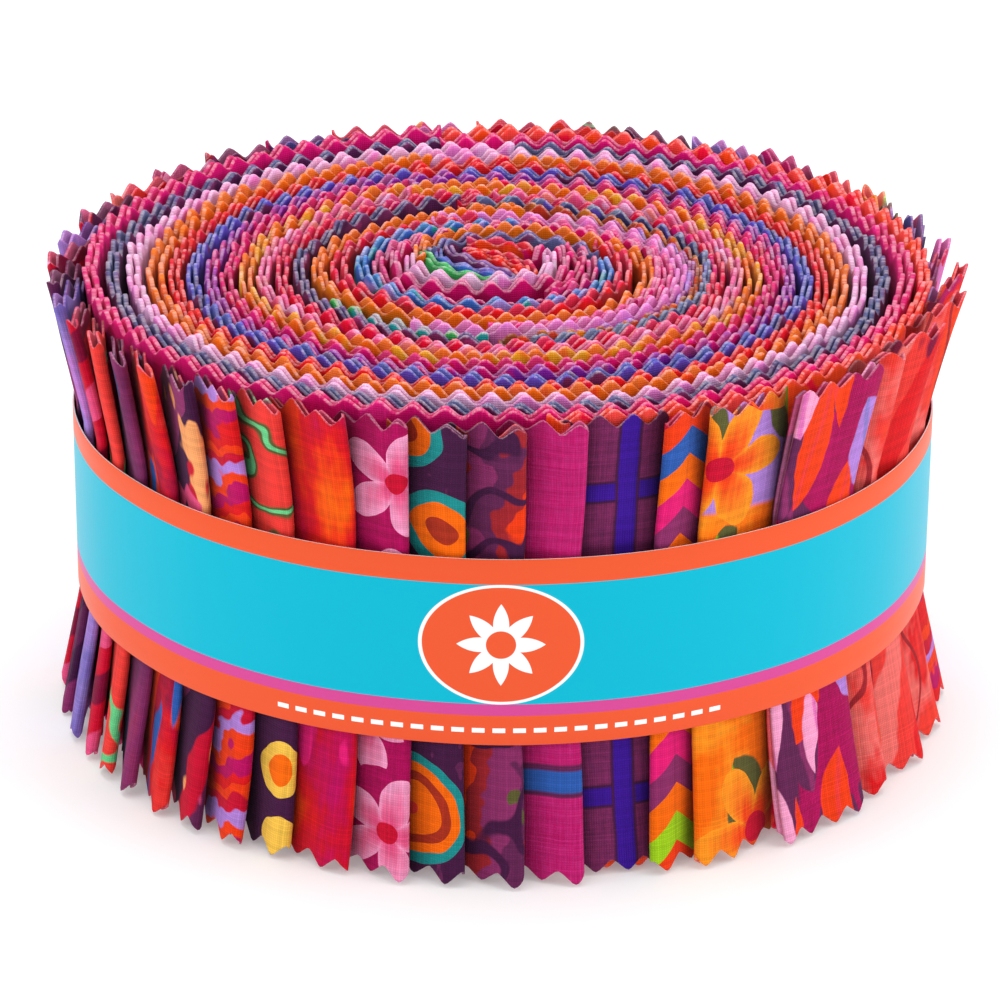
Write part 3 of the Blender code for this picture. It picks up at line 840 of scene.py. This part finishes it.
def cotton_weave(yarn):
    """The node group that turns a print into woven cotton: yarns, wrong side, cut edge and painted
    shade.
    """
    name = "cotton_weave"
    if name in bpy.data.node_groups:
        return bpy.data.node_groups[name]
    group = bpy.data.node_groups.new(name, "ShaderNodeTree")
    for label, way, kind in (("Print", "INPUT", "Color"), ("Wrong Side", "INPUT", "Color"),
                             ("Fray", "INPUT", "Float"), ("Colour", "OUTPUT", "Color"),
                             ("Height", "OUTPUT", "Float")):
        group.interface.new_socket(label, in_out=way, socket_type="NodeSocket" + kind)
    w = Wiring(group)
    given = w.add("NodeGroupInput").outputs
    result = w.add("NodeGroupOutput").inputs

    at = w.drawn_on("cloth")
    ridges = []
    yarns = 0.0
    for value in w.parts(w.wobbled(at, 5.0, 0.35)):
        count = w.over(value, yarn)
        ridges.append(w.positive(w.calc("SINE", w.times(count, math.pi))))
        shade = w.add("ShaderNodeTexWhiteNoise", {"W": w.calc("FLOOR", count)},
                      noise_dimensions="1D").outputs[0]
        yarns = w.plus(yarns, shade)
    weave = w.times(*ridges)
    patches = w.noise(at, 4.0, 3.0, 0.6)
    # Painted shade: the dulled attribute darkens the colour in the notches and beside the folds,
    # where shadow falls
    light = w.minus(1.0, w.read("dulled"))
    for value, (share, rest) in ((weave, WEAVE_LIGHT), (yarns, YARN_LIGHT), (patches, PATCH_LIGHT)):
        light = w.times(light, w.scaled(value, share, rest))

    dye = w.mix(w.between(w.read("reverse"), 0.35, 0.65), given["Print"], given["Wrong Side"])
    fuzz = w.times(w.noise(at, 0.5, 2.0, 0.7), 0.5)
    worn = w.between(w.plus(w.read("edge"), fuzz), w.scaled(given["Fray"], 0.24, 0.3), 0.2)
    tufts = w.between(w.noise(w.moved(at, 0.0, (1.0, 0.4)), 0.7, 2.0, 0.7), 0.38, 0.6)
    pale = w.mix(w.times(tufts, 0.4), given["Wrong Side"], FRAYED_TINT)
    dye = w.mix(w.times(worn, w.scaled(given["Fray"], 0.5, 0.25)), dye, pale)
    w.feed(result["Colour"], w.vector("SCALE", dye, scale=light))
    w.feed(result["Height"], w.plus(weave, fuzz))
    return group


def make_cotton(name, draw, wrong_side, yarn, fray):
    """A cotton with a drawn print on one side and a plain wrong side. Fray is 0 to 1."""
    material, w, shader = new_material(name)
    at = w.drawn_on("cloth")
    weave = w.add("ShaderNodeGroup", node_tree=cotton_weave(yarn))
    w.feed(weave.inputs["Print"], draw(w, at))
    w.feed(weave.inputs["Wrong Side"], wrong_side(w, at))
    w.feed(weave.inputs["Fray"], fray)
    w.feed(shader.inputs["Base Color"], weave.outputs["Colour"])
    w.roughen(shader, 0.55, 0.00009, weave.outputs["Height"])
    shader.inputs["Roughness"].default_value = 0.85
    shader.inputs["IOR"].default_value = 1.2
    shader.inputs["Sheen Weight"].default_value = 0.04
    shader.inputs["Sheen Roughness"].default_value = 0.45
    return material


def wound_cotton(name, yarn):
    """The cotton of one wound strip: a mottled print and its paler wrong side."""
    colours, reverse = WOUND_COTTONS[name]
    first, second, third = [linear(c) for c in colours]

    def draw(w, at):
        dye = w.mix(w.between(w.noise(at, 9.0), 0.5, 0.56), first, second)
        spots = w.noise(w.moved(at, shift=(31.0, 7.0)), 7.0)
        dye = w.mix(w.between(spots, 0.58, 0.63), dye, third)
        # Painted light: the dyes are brightened to stand in for light shining through the thin
        # teeth
        return w.vector("MINIMUM", w.vector("SCALE", dye, scale=WOUND_PAINTED_LIGHT), (0.95, 0.95, 0.95))

    def back(w, at):
        return w.mix(w.noise(at, 8.0), linear(reverse), draw(w, at))

    return make_cotton(name, draw, back, yarn, 1.0)


def printed_cotton(name, yarn):
    """The cotton of a strip end: its print, and the same print seen through from the wrong side."""
    def draw(w, at):
        return layered(w, at, PRINTS[name])

    def back(w, at):
        return w.mix(0.3, draw(w, at), linear("pale_pink"))

    return make_cotton(name, draw, back, yarn, 0.3)


# ---------------------------------------------------------------- cloth meshes

def uneven(rng, along, spacing, size):
    """A smooth random wander along a path, up to size either way."""
    start = along.min()
    count = int((along.max() - start) / spacing) + 3
    knots = rng.uniform(-size, size, count)
    place = (along - start) / spacing
    low = place.astype(int)
    share = smooth(place - low)
    return knots[low] * (1.0 - share) + knots[low + 1] * share


class Pinking:
    """The teeth along both plies of a folded strip: places measured from the middle of the fold,
    negative on the outer ply, and how deep each lies between tooth tip and notch."""

    def __init__(self, rng, reach, bend, pitch, slip, roundness):
        phase = rng.uniform(0.0, 1.0)
        end = reach + bend / 2.0
        sides = []
        for shift in (0.0, slip):
            first = -(phase + shift) * pitch
            teeth = np.arange(int((end - first) / pitch) + 2)
            places = (first + pitch * (teeth[:, None] + np.array(TOOTH_STATIONS))).ravel()
            places = places[(places > END_MARGIN) & (places < end - END_MARGIN)]
            places = np.concatenate([places, np.linspace(0.0, bend / 2.0, 4), [end]])
            places = np.unique(np.round(places, 3))
            sides.append(places[np.concatenate([[True], np.diff(places) > LEAST_STEP])])
        outer, inner = sides
        self.place = np.concatenate([-outer[::-1], inner[1:]])
        count = np.abs(self.place) / pitch + phase + np.where(self.place > 0.0, slip, 0.0)
        tooth = np.maximum(0, count).astype(int)
        across = np.mod(count, 1.0)
        sharp = np.abs(2.0 * across - 1.0)
        soft = 0.5 + 0.5 * np.cos(math.tau * across)
        self.share = np.clip(sharp + roundness * (soft - sharp), BLUNT, 1.0 - BLUNT)
        tip = 1.0 - self.share
        ply = np.where(self.place < 0.0, 1.0, -1.0)
        own = tooth * 2 + (ply > 0.0)
        number = tooth.max() + 1
        self.lean = (rng.normal(0.0, PAIR_LEAN, number)[tooth] * ply
                     + rng.normal(0.0, PLY_LEAN, 2 * number)[own]) * tip
        self.sway = rng.normal(0.0, TOOTH_SWAY, number)[tooth] * tip
        self.rise = rng.normal(0.0, TOOTH_RISE, 2 * number)[own]
        # how far each place lies from the bend of the fold, and how far it has turned round it
        self.inwards = np.maximum(0.0, np.abs(self.place) - bend / 2.0)
        self.turned = math.pi * np.clip(self.place / bend + 0.5, 0.0, 1.0)


def level_heights(share, low_edge, high_edge, depth, top_levels, bottom_levels, middle):
    """The height of every column at every level from the top down, its distance from the cut edge,
    and the share by which each level follows the edge's own teeth."""
    rows = [(high_edge - level.drop - depth * share * level.follow, *level) for level in top_levels]
    rows += [(np.full_like(share, height), 10.0, 0.0) for height in middle]
    rows += [(low_edge + level.drop + depth * share * level.follow, *level)
             for level in reversed(bottom_levels)]
    heights, edges, follows = zip(*rows)
    return np.array(heights).T, np.array(edges), np.array(follows)


def build_sheet(name, points, across, uv_name, marks, material, wrap=None):
    """A closed thin sheet from its two sides.

    points has the two sides, then the columns, the levels, and x, y, z in millimetres; across says
    for each of them where the print lies, and a face that spans the print's seam goes on past it by
    wrap. marks lists the sheet's attributes; one that's left without values marks the cut rim."""
    sides, columns, levels, _ = points.shape
    a, b = np.arange(sides * columns * levels).reshape(sides, columns, levels)
    quads = (
        (a[:-1, :-1], a[1:, :-1], a[1:, 1:], a[:-1, 1:]),
        (b[:-1, :-1], b[:-1, 1:], b[1:, 1:], b[1:, :-1]),
        (a[:-1, 0], b[:-1, 0], b[1:, 0], a[1:, 0]),
        (a[:-1, -1], a[1:, -1], b[1:, -1], b[:-1, -1]),
        (a[0, :-1], a[0, 1:], b[0, 1:], b[0, :-1]),
        (a[-1, :-1], b[-1, :-1], b[-1, 1:], a[-1, 1:]),
    )
    faces = np.concatenate([np.stack([corner.ravel() for corner in quad], 1) for quad in quads])
    mesh = bpy.data.meshes.new(name)
    mesh.from_pydata(points.reshape(-1, 3) * MM, [], faces)
    mesh.update()
    for key, values in marks.items():
        domain = "POINT"
        if values is None:
            domain = "FACE"
            values = np.arange(len(faces)) >= 2 * (columns - 1) * (levels - 1)
        values = np.asarray(values, np.float32)
        mesh.attributes.new(key, "FLOAT", domain).data.foreach_set("value", values)
    u = across.ravel()[faces]
    if wrap:
        torn = np.ptp(u, axis=1) > wrap / 2.0
        u = np.where(torn[:, None] & (u < 0.0), u + wrap, u)
    uv = np.stack([u, points[..., 2].ravel()[faces]], -1).astype(np.float32)
    mesh.uv_layers.new(name=uv_name).data.foreach_set("uv", uv.ravel())
    mesh.shade_smooth()
    mesh.materials.append(material)
    return put(name, mesh)


def put(name, data):
    """A new object in the scene."""
    made = bpy.data.objects.new(name, data)
    bpy.context.scene.collection.objects.link(made)
    return made


def build_cloth(name, points, edges, shade_amounts, along, print_start, material):
    """A cloth sheet, its print side on the left of the columns' direction, seen from above.

    edges is the levels' distance from the cut edge, and shade_amounts says for every column and
    level how far its colour is darkened by painted shade from the fold or the notches it lies in."""
    sides, columns, levels, _ = points.shape
    across = np.broadcast_to((along + print_start)[None, :, None], points.shape[:3])
    # dulled holds how far each point's colour is darkened by painted shade
    marks = {"reverse": np.repeat([0.0, 1.0], columns * levels),
             "edge": np.tile(edges, sides * columns), "dulled": np.tile(shade_amounts.ravel(), sides)}
    return build_sheet(name, points, across, "cloth", marks, material)


def around(radius, degrees, heights):
    """Points round the roll's middle."""
    angle = np.radians(degrees)
    return np.stack([radius * np.sin(angle), -radius * np.cos(angle), heights], -1)


def wander(radius, degrees):
    """The slow waves that neighbouring turns share."""
    angle = np.radians(degrees)
    waves = sum(size * np.sin(count * angle + radius / twist + phase)
                for size, count, twist, phase in TURN_WAVES)
    return waves * np.clip((CORE_RADIUS + 1.0 - radius) / 12.0, 0.15, 1.0)


def flare(heights, sizes):
    """0 at the waist under the band, 1 at either rim."""
    width = sizes.strip_width / MM
    top = BAND_HIGH.z / MM + WAIST_MARGIN
    bottom = BAND_LOW.z / MM - WAIST_MARGIN
    return np.maximum(0.0, np.maximum((heights - top) / (width - top), (bottom - heights) / bottom))


# ---------------------------------------------------------------- the wound strips

def spiral(radius, start, turns):
    """Points inwards along a spiral, from the outer end."""
    steps = np.linspace(0.0, turns, int(turns * POINTS_IN_TURN))
    degrees = start + TURN * steps
    radii = radius - TURN_PITCH * steps
    radii = radii + wander(radii, degrees)
    return around(radii, degrees, np.zeros_like(radii))[:, :2]


def soft_route(route, step=0.2):
    """Even points on a soft curve through a short route."""
    points = np.array(route, float)
    ends = np.concatenate([[2.0 * points[0] - points[1]], points, [2.0 * points[-1] - points[-2]]])
    curve = []
    for a, b, c, d in zip(ends, ends[1:], ends[2:], ends[3:]):
        for t in np.linspace(0.0, 1.0, 50, endpoint=False):
            curve.append(0.5 * (2.0 * b + (c - a) * t + (2.0 * a - 5.0 * b + 4.0 * c - d) * t * t
                                + (3.0 * b - a - 3.0 * c + d) * t ** 3))
    curve = np.array(curve + [points[-1]])
    lengths = run_lengths(curve)
    places = np.linspace(0.0, lengths[-1], int(lengths[-1] / step) + 2)
    return np.stack([np.interp(places, lengths, curve[:, i]) for i in (0, 1)], 1)


def run_lengths(route):
    """The length of a route up to each of its points."""
    return np.concatenate([[0.0], np.cumsum(np.linalg.norm(np.diff(route, axis=0), axis=1))])


def build_wound_strip(name, cloth, route, spread, lift, fall, slip, teeth_share, sizes, rng):
    """One folded strip of the roll: both plies along a route that starts at its fold."""
    lengths = run_lengths(route)
    tangent = np.gradient(route, axis=0)
    tangent /= np.linalg.norm(tangent, axis=1)[:, None]
    half_gap = spread / 2.0
    bend = math.pi * half_gap
    teeth = Pinking(rng, lengths[-1], bend, sizes.tooth_pitch / MM, slip, rng.uniform(0.35, 1.0))
    here, ahead = [np.stack([np.interp(teeth.inwards, lengths, line[:, i]) for i in (0, 1)], 1)
                   for line in (route, tangent)]
    aside = np.stack([ahead[:, 1], -ahead[:, 0]], 1)
    outwards = np.cos(teeth.turned)[:, None] * aside - np.sin(teeth.turned)[:, None] * ahead

    radii = np.hypot(here[:, 0], here[:, 1])
    sink = np.interp(radii, SINK_RADII, SINK_DEPTHS) + fall * np.maximum(0.0, -here[:, 1])
    shared = uneven(rng, np.abs(teeth.place), *SHARED_WAVES)
    high = (sizes.strip_width / MM + lift - sink + shared + uneven(rng, teeth.place, *EDGE_WAVES)
            + teeth.rise)
    low = np.maximum(LEAST_HEIGHT, LOW_EDGE - 0.3 * lift + shared + teeth.rise)
    depth = sizes.tooth_depth / MM * WOUND_TOOTH_SHARE * teeth_share
    waist = WAIST_LEVELS if radii.max() > WAIST_FROM else ()
    heights, edges, follows = level_heights(teeth.share, low, high, depth,
                                            EDGE_LEVELS, HIDDEN_EDGE_LEVELS, waist)
    top = len(EDGE_LEVELS)
    opened = np.array(OPENED[:top] + (OPENED[top - 1],) * len(waist) + OPENED[top:])
    swell = np.array(SWELL[:top] + (WAIST_SWELL,) * len(waist) + SWELL[top:])
    gap = (half_gap * opened + teeth.lean[:, None] * follows
           + uneven(rng, teeth.place, *GAP_WAVES)[:, None])
    half = sizes.cloth_thickness / MM / 2.0
    sides = []
    for sign in (1.0, -1.0):
        reach_out = gap + sign * half * swell
        flat = (here[:, None] + reach_out[..., None] * outwards[:, None]
                + teeth.sway[:, None, None] * follows[:, None] * ahead[:, None])
        radius = np.hypot(flat[..., 0], flat[..., 1])
        inside = np.clip((CORE_RADIUS - radius) / FLARE_REACH, 0.0, 1.0)
        push = 1.0 + WOUND_FLARE * flare(heights, sizes) * (1.0 - inside) / np.maximum(radius, 1.0)
        sides.append(np.concatenate([flat * push[..., None], heights[..., None]], -1))
    material = bpy.data.materials.get(cloth) or wound_cotton(cloth, sizes.yarn_pitch / MM)
    # Painted shade: the notches and the cloth below the teeth are darkened, where the plies around
    # them shade them
    notch_shade = np.interp(radii, NOTCH_RADII, NOTCH_SHADE_AMOUNTS)[:, None]
    shade_amounts = notch_shade * (1.0 - (1.0 - teeth.share)[:, None] * follows)
    strip = build_cloth(name, np.array(sides), edges, shade_amounts, teeth.place, rng.uniform(0.0, 400.0),
                        material)
    dress(strip, "wound_core")


def dress(piece, node):
    """Hand a cloth piece to the frame."""
    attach(piece, BODY)
    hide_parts(node)


class ROLL_OT_add_wound_strips(bpy.types.Operator):
    """Add the strips that are wound round and round, each with its two plies and its fold"""
    bl_idname = "roll.add_wound_strips"
    bl_label = "Add Wound Strips"

    def execute(self, context):
        rng = np.random.default_rng(11)
        rows = []
        radius = COIL_RADIUS
        start = COIL_START
        for row in COIL:
            rows.append(PartTurn(row.cloth, radius, start, *row[1:]))
            start += TURN * row.turns
            radius -= TURN_PITCH * row.turns
        for number, row in enumerate((*rows, *PART_TURNS), start=1):
            build_wound_strip(f"wound_strip_{number:02d}", row.cloth,
                              spiral(row.radius, row.start, row.turns), row.spread, row.lift, 0.0,
                              row.slip, 1.0, context.scene.roll_sizes, rng)
        return {"FINISHED"}


class ROLL_OT_add_centre_strips(bpy.types.Operator):
    """Add the folded strips in the middle, where the winding was begun"""
    bl_idname = "roll.add_centre_strips"
    bl_label = "Add Centre Strips"

    def execute(self, context):
        rng = np.random.default_rng(23)
        for number, row in enumerate(ROUTED_STRIPS, start=1):
            build_wound_strip(f"centre_strip_{number:02d}", row.cloth, soft_route(row.route)[::-1],
                              row.spread, row.lift, row.fall, row.slip, row.teeth,
                              context.scene.roll_sizes, rng)
        return {"FINISHED"}


# ---------------------------------------------------------------- the loose strip ends

def build_strip_end(name, row, start, sizes, rng):
    """One loose folded end: both plies, from its tucked side to its fold."""
    near, far = row.lap
    arc = np.radians(row.arc) * SIDE_RADIUS
    mirrored = near > far
    left_end = FOLD_HALF_GAP if near else -TUCK
    right_end = arc - FOLD_HALF_GAP if far else arc + TUCK
    teeth = Pinking(rng, right_end - left_end, math.pi * FOLD_HALF_GAP, sizes.tooth_pitch / MM,
                    rng.uniform(-0.06, 0.06), 0.15)
    place = left_end + teeth.inwards if mirrored else right_end - teeth.inwards
    hand = -1.0 if mirrored else 1.0

    width = sizes.strip_width / MM
    share = np.clip(place / arc, 0.0, 1.0)
    slant = rng.uniform(-0.25, 0.25) * (share - 0.5)
    outside = place - arc if mirrored else -place
    if near == far:
        outside = np.maximum(-place, place - arc)
    under = np.clip(outside / TUCK, 0.0, 1.0)
    inner = (teeth.place > 0.0) * smooth(teeth.inwards / 3.0)
    drop = INNER_DROP * inner + TUCKED_DROP * smooth(under)
    high = width - END_DROP + row.lift + slant + 0.5 * teeth.rise - drop
    low = np.maximum(LEAST_HEIGHT, 0.12 - 0.5 * min(row.lift, 0.0) + 0.5 * slant
                     + 0.4 * teeth.rise + drop)
    band_top = BAND_HIGH.z / MM
    band_bottom = BAND_LOW.z / MM
    middle = (*UPPER_LEVELS, band_top + CLEAR_OF_BAND, band_top - UNDER_BAND,
              (band_top + band_bottom) / 2.0, band_bottom + UNDER_BAND,
              band_bottom - CLEAR_OF_BAND, *LOWER_LEVELS)
    heights, edges, follows = level_heights(teeth.share, low, high, sizes.tooth_depth / MM,
                                            EDGE_LEVELS, EDGE_LEVELS, middle)
    lean = flare(heights, sizes)
    full = np.minimum(1.0, lean)
    soon = np.minimum(1.0, 2.0 * lean)
    climb = near
    if near != far:
        climb = smooth((1.0 - share if mirrored else share) / 0.85)
    curl = np.maximum(near * (1.0 - share) ** 1.5, far * share ** 1.5)
    spring = np.where(heights > width / 2.0, row.top_spring, row.bottom_spring)
    base = TUCKED_RADIUS + (LAPPED_RADIUS - TUCKED_RADIUS) * climb - 0.7 * under
    face = (base[:, None] + RIM_FLARE * lean + spring * lean ** 1.3 * curl[:, None]
            + 0.35 * lean - 0.9 * under[:, None] * lean)
    # the face rounds off towards the folds, and puffs a little between them
    to_far = np.clip((arc - place) / ROUNDED, 0.0, 1.0)
    to_near = np.clip(place / ROUNDED, 0.0, 1.0)
    rounding = far * (1.0 - to_far) ** 2 + near * (1.0 - to_near) ** 2
    face = face - (0.35 + 0.35 * full) * rounding[:, None]
    face = face + PUFF * np.sin(math.pi * share)[:, None] * soon
    sag = np.sin(heights / 9.0 + rng.uniform(0.0, 6.0)) * SAG * soon
    face = face + uneven(rng, teeth.place, *FACE_WAVES)[:, None] * full + sag

    half_gap = (PLY_GAP + RIM_GAP * full ** 0.7) * (1.0 - 0.35 * under[:, None])
    half = sizes.cloth_thickness / MM / 2.0
    mid = face - half - half_gap
    skew = rng.uniform(-0.5, 0.5) * (heights / width - 0.5)
    wobble = WOBBLE * np.sin(heights / 5.5 + rng.uniform(0.0, 6.0))
    sides = []
    for sign in (1.0, -1.0):
        out = half_gap + sign * half + teeth.lean[:, None] * follows * 0.7
        radial = mid + out * np.cos(teeth.turned)[:, None]
        sideways = (place[:, None] + hand * out * np.sin(teeth.turned)[:, None]
                    + teeth.sway[:, None] * follows + skew + wobble)
        sides.append(around(radial, start + np.degrees(sideways / SIDE_RADIUS), heights))
    # Painted shadow: the side tucked under a neighbour's fold is darkened, where that fold shades
    # it
    crease_shadow = ((1.0 - near) * np.exp(-np.maximum(0.0, place) / CREASE_SHADE_REACH)
              + (1.0 - far) * np.exp(-np.maximum(0.0, arc - place) / CREASE_SHADE_REACH))
    shade_amounts = CREASE_SHADE_AMOUNT * np.minimum(1.0, crease_shadow)[:, None] * np.ones_like(heights)
    points = np.array(sides)
    along = teeth.place
    if not mirrored:
        points, along, shade_amounts = points[:, ::-1], along[::-1], shade_amounts[::-1]
    material = bpy.data.materials.get(row.cloth) or printed_cotton(row.cloth, sizes.yarn_pitch / MM)
    end = build_cloth(name + "_cloth", points, edges, shade_amounts, along, row.print_at, material)
    dress(end, name)


class ROLL_OT_add_strip_ends(bpy.types.Operator):
    """Add the loose folded ends that stand round the side, held by the band"""
    bl_idname = "roll.add_strip_ends"
    bl_label = "Add Strip Ends"

    def execute(self, context):
        start = FIRST_START
        for number, row in enumerate(STRIP_ENDS, start=1):
            rng = np.random.default_rng(100 + number)
            build_strip_end(f"strip_end_{number:02d}", row, start, context.scene.roll_sizes, rng)
            start += row.arc
        return {"FINISHED"}


# ---------------------------------------------------------------- the paper band

def band_paper(look):
    """Printed paper: borders, a thin stripe, a wide ground, a plain badge and a row of dashes."""
    material, w, shader = new_material("band_paper")
    at = w.drawn_on("paper")
    x, y = w.parts(at)
    low = BAND_LOW.z / MM
    lower = low + look.lower_border / MM
    line = lower + look.thin_line / MM
    upper = (BAND_HIGH.z - look.upper_border) / MM
    ground, border, thin = [(*dye, 1.0) for dye in (look.ground, look.border, look.line)]
    white = linear("white")
    colour = border
    for height, above in ((lower, thin), (line, ground), (upper, border)):
        colour = w.mix(w.between(y, height - 0.05, height + 0.05), colour, above)

    # the badge: an oval with a white rim, and an eight-pointed quilter's star inside
    star_up = w.minus(y, (line + upper) / 2.0)
    oval = w.hypot(w.over(x, look.badge_width / MM / 2.0),
                   w.over(star_up, look.badge_height / MM / 2.0))
    colour = w.mix(w.between(oval, 1.0, 0.99), colour, white)
    colour = w.mix(w.between(oval, RIM_SHARE + 0.005, RIM_SHARE - 0.005), colour, border)
    far = w.hypot(x, star_up)
    ray = w.apart(w.repeat(w.calc("ARCTAN2", star_up, x), math.tau / 8.0), 0.5)
    for edge, dye in ((w.scaled(ray, STAR_RAY, STAR_NOTCH), white), (STAR_HEART, border)):
        colour = w.mix(w.between(w.minus(edge, far), -0.03, 0.05), colour, dye)

    # the row of short dashes along the lower border
    dash = w.below(w.repeat(w.plus(x, DASH_PHASE), DASH_PITCH), DASH_SHARE)
    tall = w.below(w.apart(y, (low + lower) / 2.0), DASH_HALF_HEIGHT)
    shown = w.times(w.times(dash, tall), w.below(w.positive(x), DASH_REACH))
    colour = w.mix(shown, colour, white)

    # the paper's white core shows along its cut edges
    colour = w.mix(w.between(w.read("cut"), 0.4, 0.6), colour, white)
    w.feed(shader.inputs["Base Color"], colour)
    w.roughen(shader, 0.1, 0.00003, w.noise(at, 0.35, 3.0, 0.6))
    shader.inputs["Roughness"].default_value = 0.35
    shader.inputs["IOR"].default_value = 1.2
    return material


def build_paper_band(sizes, look):
    """The band: once round and on over its own start for the glued lap."""
    thickness = sizes.paper_thickness / MM
    lap, ramp = [math.degrees(run / BAND_RADIUS) for run in (BAND_LAP, BAND_RAMP)]
    angles = np.arange(0.0, TURN + lap + 0.01, 1.0)
    lift = (thickness + 0.05) * smooth((angles - (TURN - ramp)) / ramp)
    low = BAND_LOW.z / MM
    high = BAND_HIGH.z / MM
    heights = np.array([low, low + 0.12, low + 2.0, (low + high) / 2.0,
                        high - 2.0, high - 0.12, high])
    # the edges are a little thinner than the paper between them
    gaps = np.array([0.05, 0.0, 0.0, 0.0, 0.0, 0.0, 0.05])
    degrees = angles + BAND_START
    here = np.radians(degrees)
    soft = 0.05 * np.sin(9.0 * here + 0.7) + 0.035 * np.sin(17.0 * here + 2.0)
    rows = []
    for radius in (BAND_RADIUS - gaps, BAND_RADIUS - thickness + gaps):
        radius = radius + (lift + soft)[:, None]
        rows.append(around(radius, degrees[:, None], np.broadcast_to(heights, radius.shape)))
    points = np.array(rows)
    # the print's seam lies in the glued lap
    across = np.radians((degrees + TURN / 2.0) % TURN - TURN / 2.0) * BAND_RADIUS
    band = build_sheet("printed_band", points, np.broadcast_to(across[:, None], points.shape[:3]),
                       "paper", {"cut": None}, band_paper(look), wrap=math.tau * BAND_RADIUS)
    band.data.set_sharp_from_angle(angle=math.radians(40.0))
    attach(band, BODY)
    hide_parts("paper_band")


class ROLL_OT_add_paper_band(bpy.types.Operator):
    """Add the printed paper band that holds the roll shut"""
    bl_idname = "roll.add_paper_band"
    bl_label = "Add Paper Band"

    def execute(self, context):
        build_paper_band(context.scene.roll_sizes, context.scene.roll_band)
        return {"FINISHED"}


# ---------------------------------------------------------------- the stage

FLOOR_REACH = 3.0
FLOOR_DROP = 0.0002
# Each light's size, and where it stands
LIGHTS = {
    "key": (0.5, (-0.3, -0.6, 0.65)),
    "left": (0.6, (-0.8, -0.25, 0.45)),
    "right": (0.6, (0.8, -0.25, 0.45)),
    "top": (0.7, (0.0, 0.15, 0.9)),
}
LOOKED_AT = Vector((-0.000254, 0.0, 0.02777))


def add_floor(look):
    mesh = bpy.data.meshes.new("floor")
    corners = ((-1.0, -1.0), (1.0, -1.0), (1.0, 1.0), (-1.0, 1.0))
    points = [(FLOOR_REACH * x, FLOOR_REACH * y, 0.0) for x, y in corners]
    mesh.from_pydata(points, [], [(0, 1, 2, 3)])
    material, _, shader = new_material("floor_paint")
    shader.inputs["Base Color"].default_value = (*look.floor_colour, 1.0)
    shader.inputs["Roughness"].default_value = 0.7
    shader.inputs["Specular IOR Level"].default_value = 0.1
    shader.inputs["Emission Color"].default_value = (1.0, 1.0, 1.0, 1.0)
    shader.inputs["Emission Strength"].default_value = look.floor_glow
    mesh.materials.append(material)
    floor = put("floor", mesh)
    floor.location.z = CAD_LOW.z - FLOOR_DROP


def add_lights(look):
    """Large square soft lights that look at the roll's middle."""
    for key, (size, place) in LIGHTS.items():
        data = bpy.data.lights.new(key + "_light", "AREA")
        data.energy = getattr(look, key + "_power")
        data.size = size
        light = put(key + "_light", data)
        light.location = place
        ahead = (CAD_LOW + CAD_HIGH) / 2.0 - light.location
        light.rotation_euler = ahead.to_track_quat("-Z", "Y").to_euler()


def add_camera(look):
    data = bpy.data.cameras.new("camera")
    data.lens = look.lens
    data.sensor_width = 36.0
    data.clip_end = 20.0
    camera = put("camera", data)
    back = Vector((0.0, -math.cos(look.elevation), math.sin(look.elevation)))
    camera.location = LOOKED_AT + look.distance * back
    facing = (-back).to_track_quat("-Z", "Y").to_matrix()
    camera.rotation_euler = (facing @ Matrix.Rotation(look.roll, 3, "Z")).to_euler()
    return camera


class ROLL_OT_add_stage(bpy.types.Operator):
    """Add the pale floor, the soft light and the camera"""
    bl_idname = "roll.add_stage"
    bl_label = "Add Stage"

    def execute(self, context):
        look = context.scene.roll_stage
        add_floor(look)
        add_lights(look)
        world = bpy.data.worlds.new("even_light")
        world.use_nodes = True
        background = world.node_tree.nodes["Background"]
        background.inputs["Color"].default_value = (1.0, 1.0, 1.0, 1.0)
        background.inputs["Strength"].default_value = look.sky_strength
        context.scene.world = world
        context.scene.view_settings.view_transform = "Standard"
        context.scene.camera = add_camera(look)
        return {"FINISHED"}


class ROLL_PT_parts(bpy.types.Panel):
    """Lists the steps that build the roll"""
    bl_label = "Strip Roll"
    bl_idname = "ROLL_PT_parts"
    bl_space_type = "VIEW_3D"
    bl_region_type = "UI"
    bl_category = "Strip Roll"

    def draw(self, context):
        layout = self.layout
        for operator in OPERATORS:
            layout.operator(operator.bl_idname)
        for settings in (context.scene.roll_sizes, context.scene.roll_band,
                         context.scene.roll_stage):
            box = layout.box()
            for key in settings.__annotations__:
                box.prop(settings, key)


OPERATORS = (
    ROLL_OT_add_wound_strips,
    ROLL_OT_add_centre_strips,
    ROLL_OT_add_strip_ends,
    ROLL_OT_add_paper_band,
    ROLL_OT_add_stage,
)
CLASSES = (RollSizes, BandLook, StageLook, *OPERATORS, ROLL_PT_parts)


def register():
    for cls in CLASSES:
        bpy.utils.register_class(cls)
    bpy.types.Scene.roll_sizes = bpy.props.PointerProperty(type=RollSizes)
    bpy.types.Scene.roll_band = bpy.props.PointerProperty(type=BandLook)
    bpy.types.Scene.roll_stage = bpy.props.PointerProperty(type=StageLook)


def unregister():
    del bpy.types.Scene.roll_stage
    del bpy.types.Scene.roll_band
    del bpy.types.Scene.roll_sizes
    for cls in reversed(CLASSES):
        bpy.utils.unregister_class(cls)


def main():
    register()
    bpy.ops.roll.add_wound_strips()
    bpy.ops.roll.add_centre_strips()
    bpy.ops.roll.add_strip_ends()
    bpy.ops.roll.add_paper_band()
    bpy.ops.roll.add_stage()


if __name__ == "__main__":
    main()
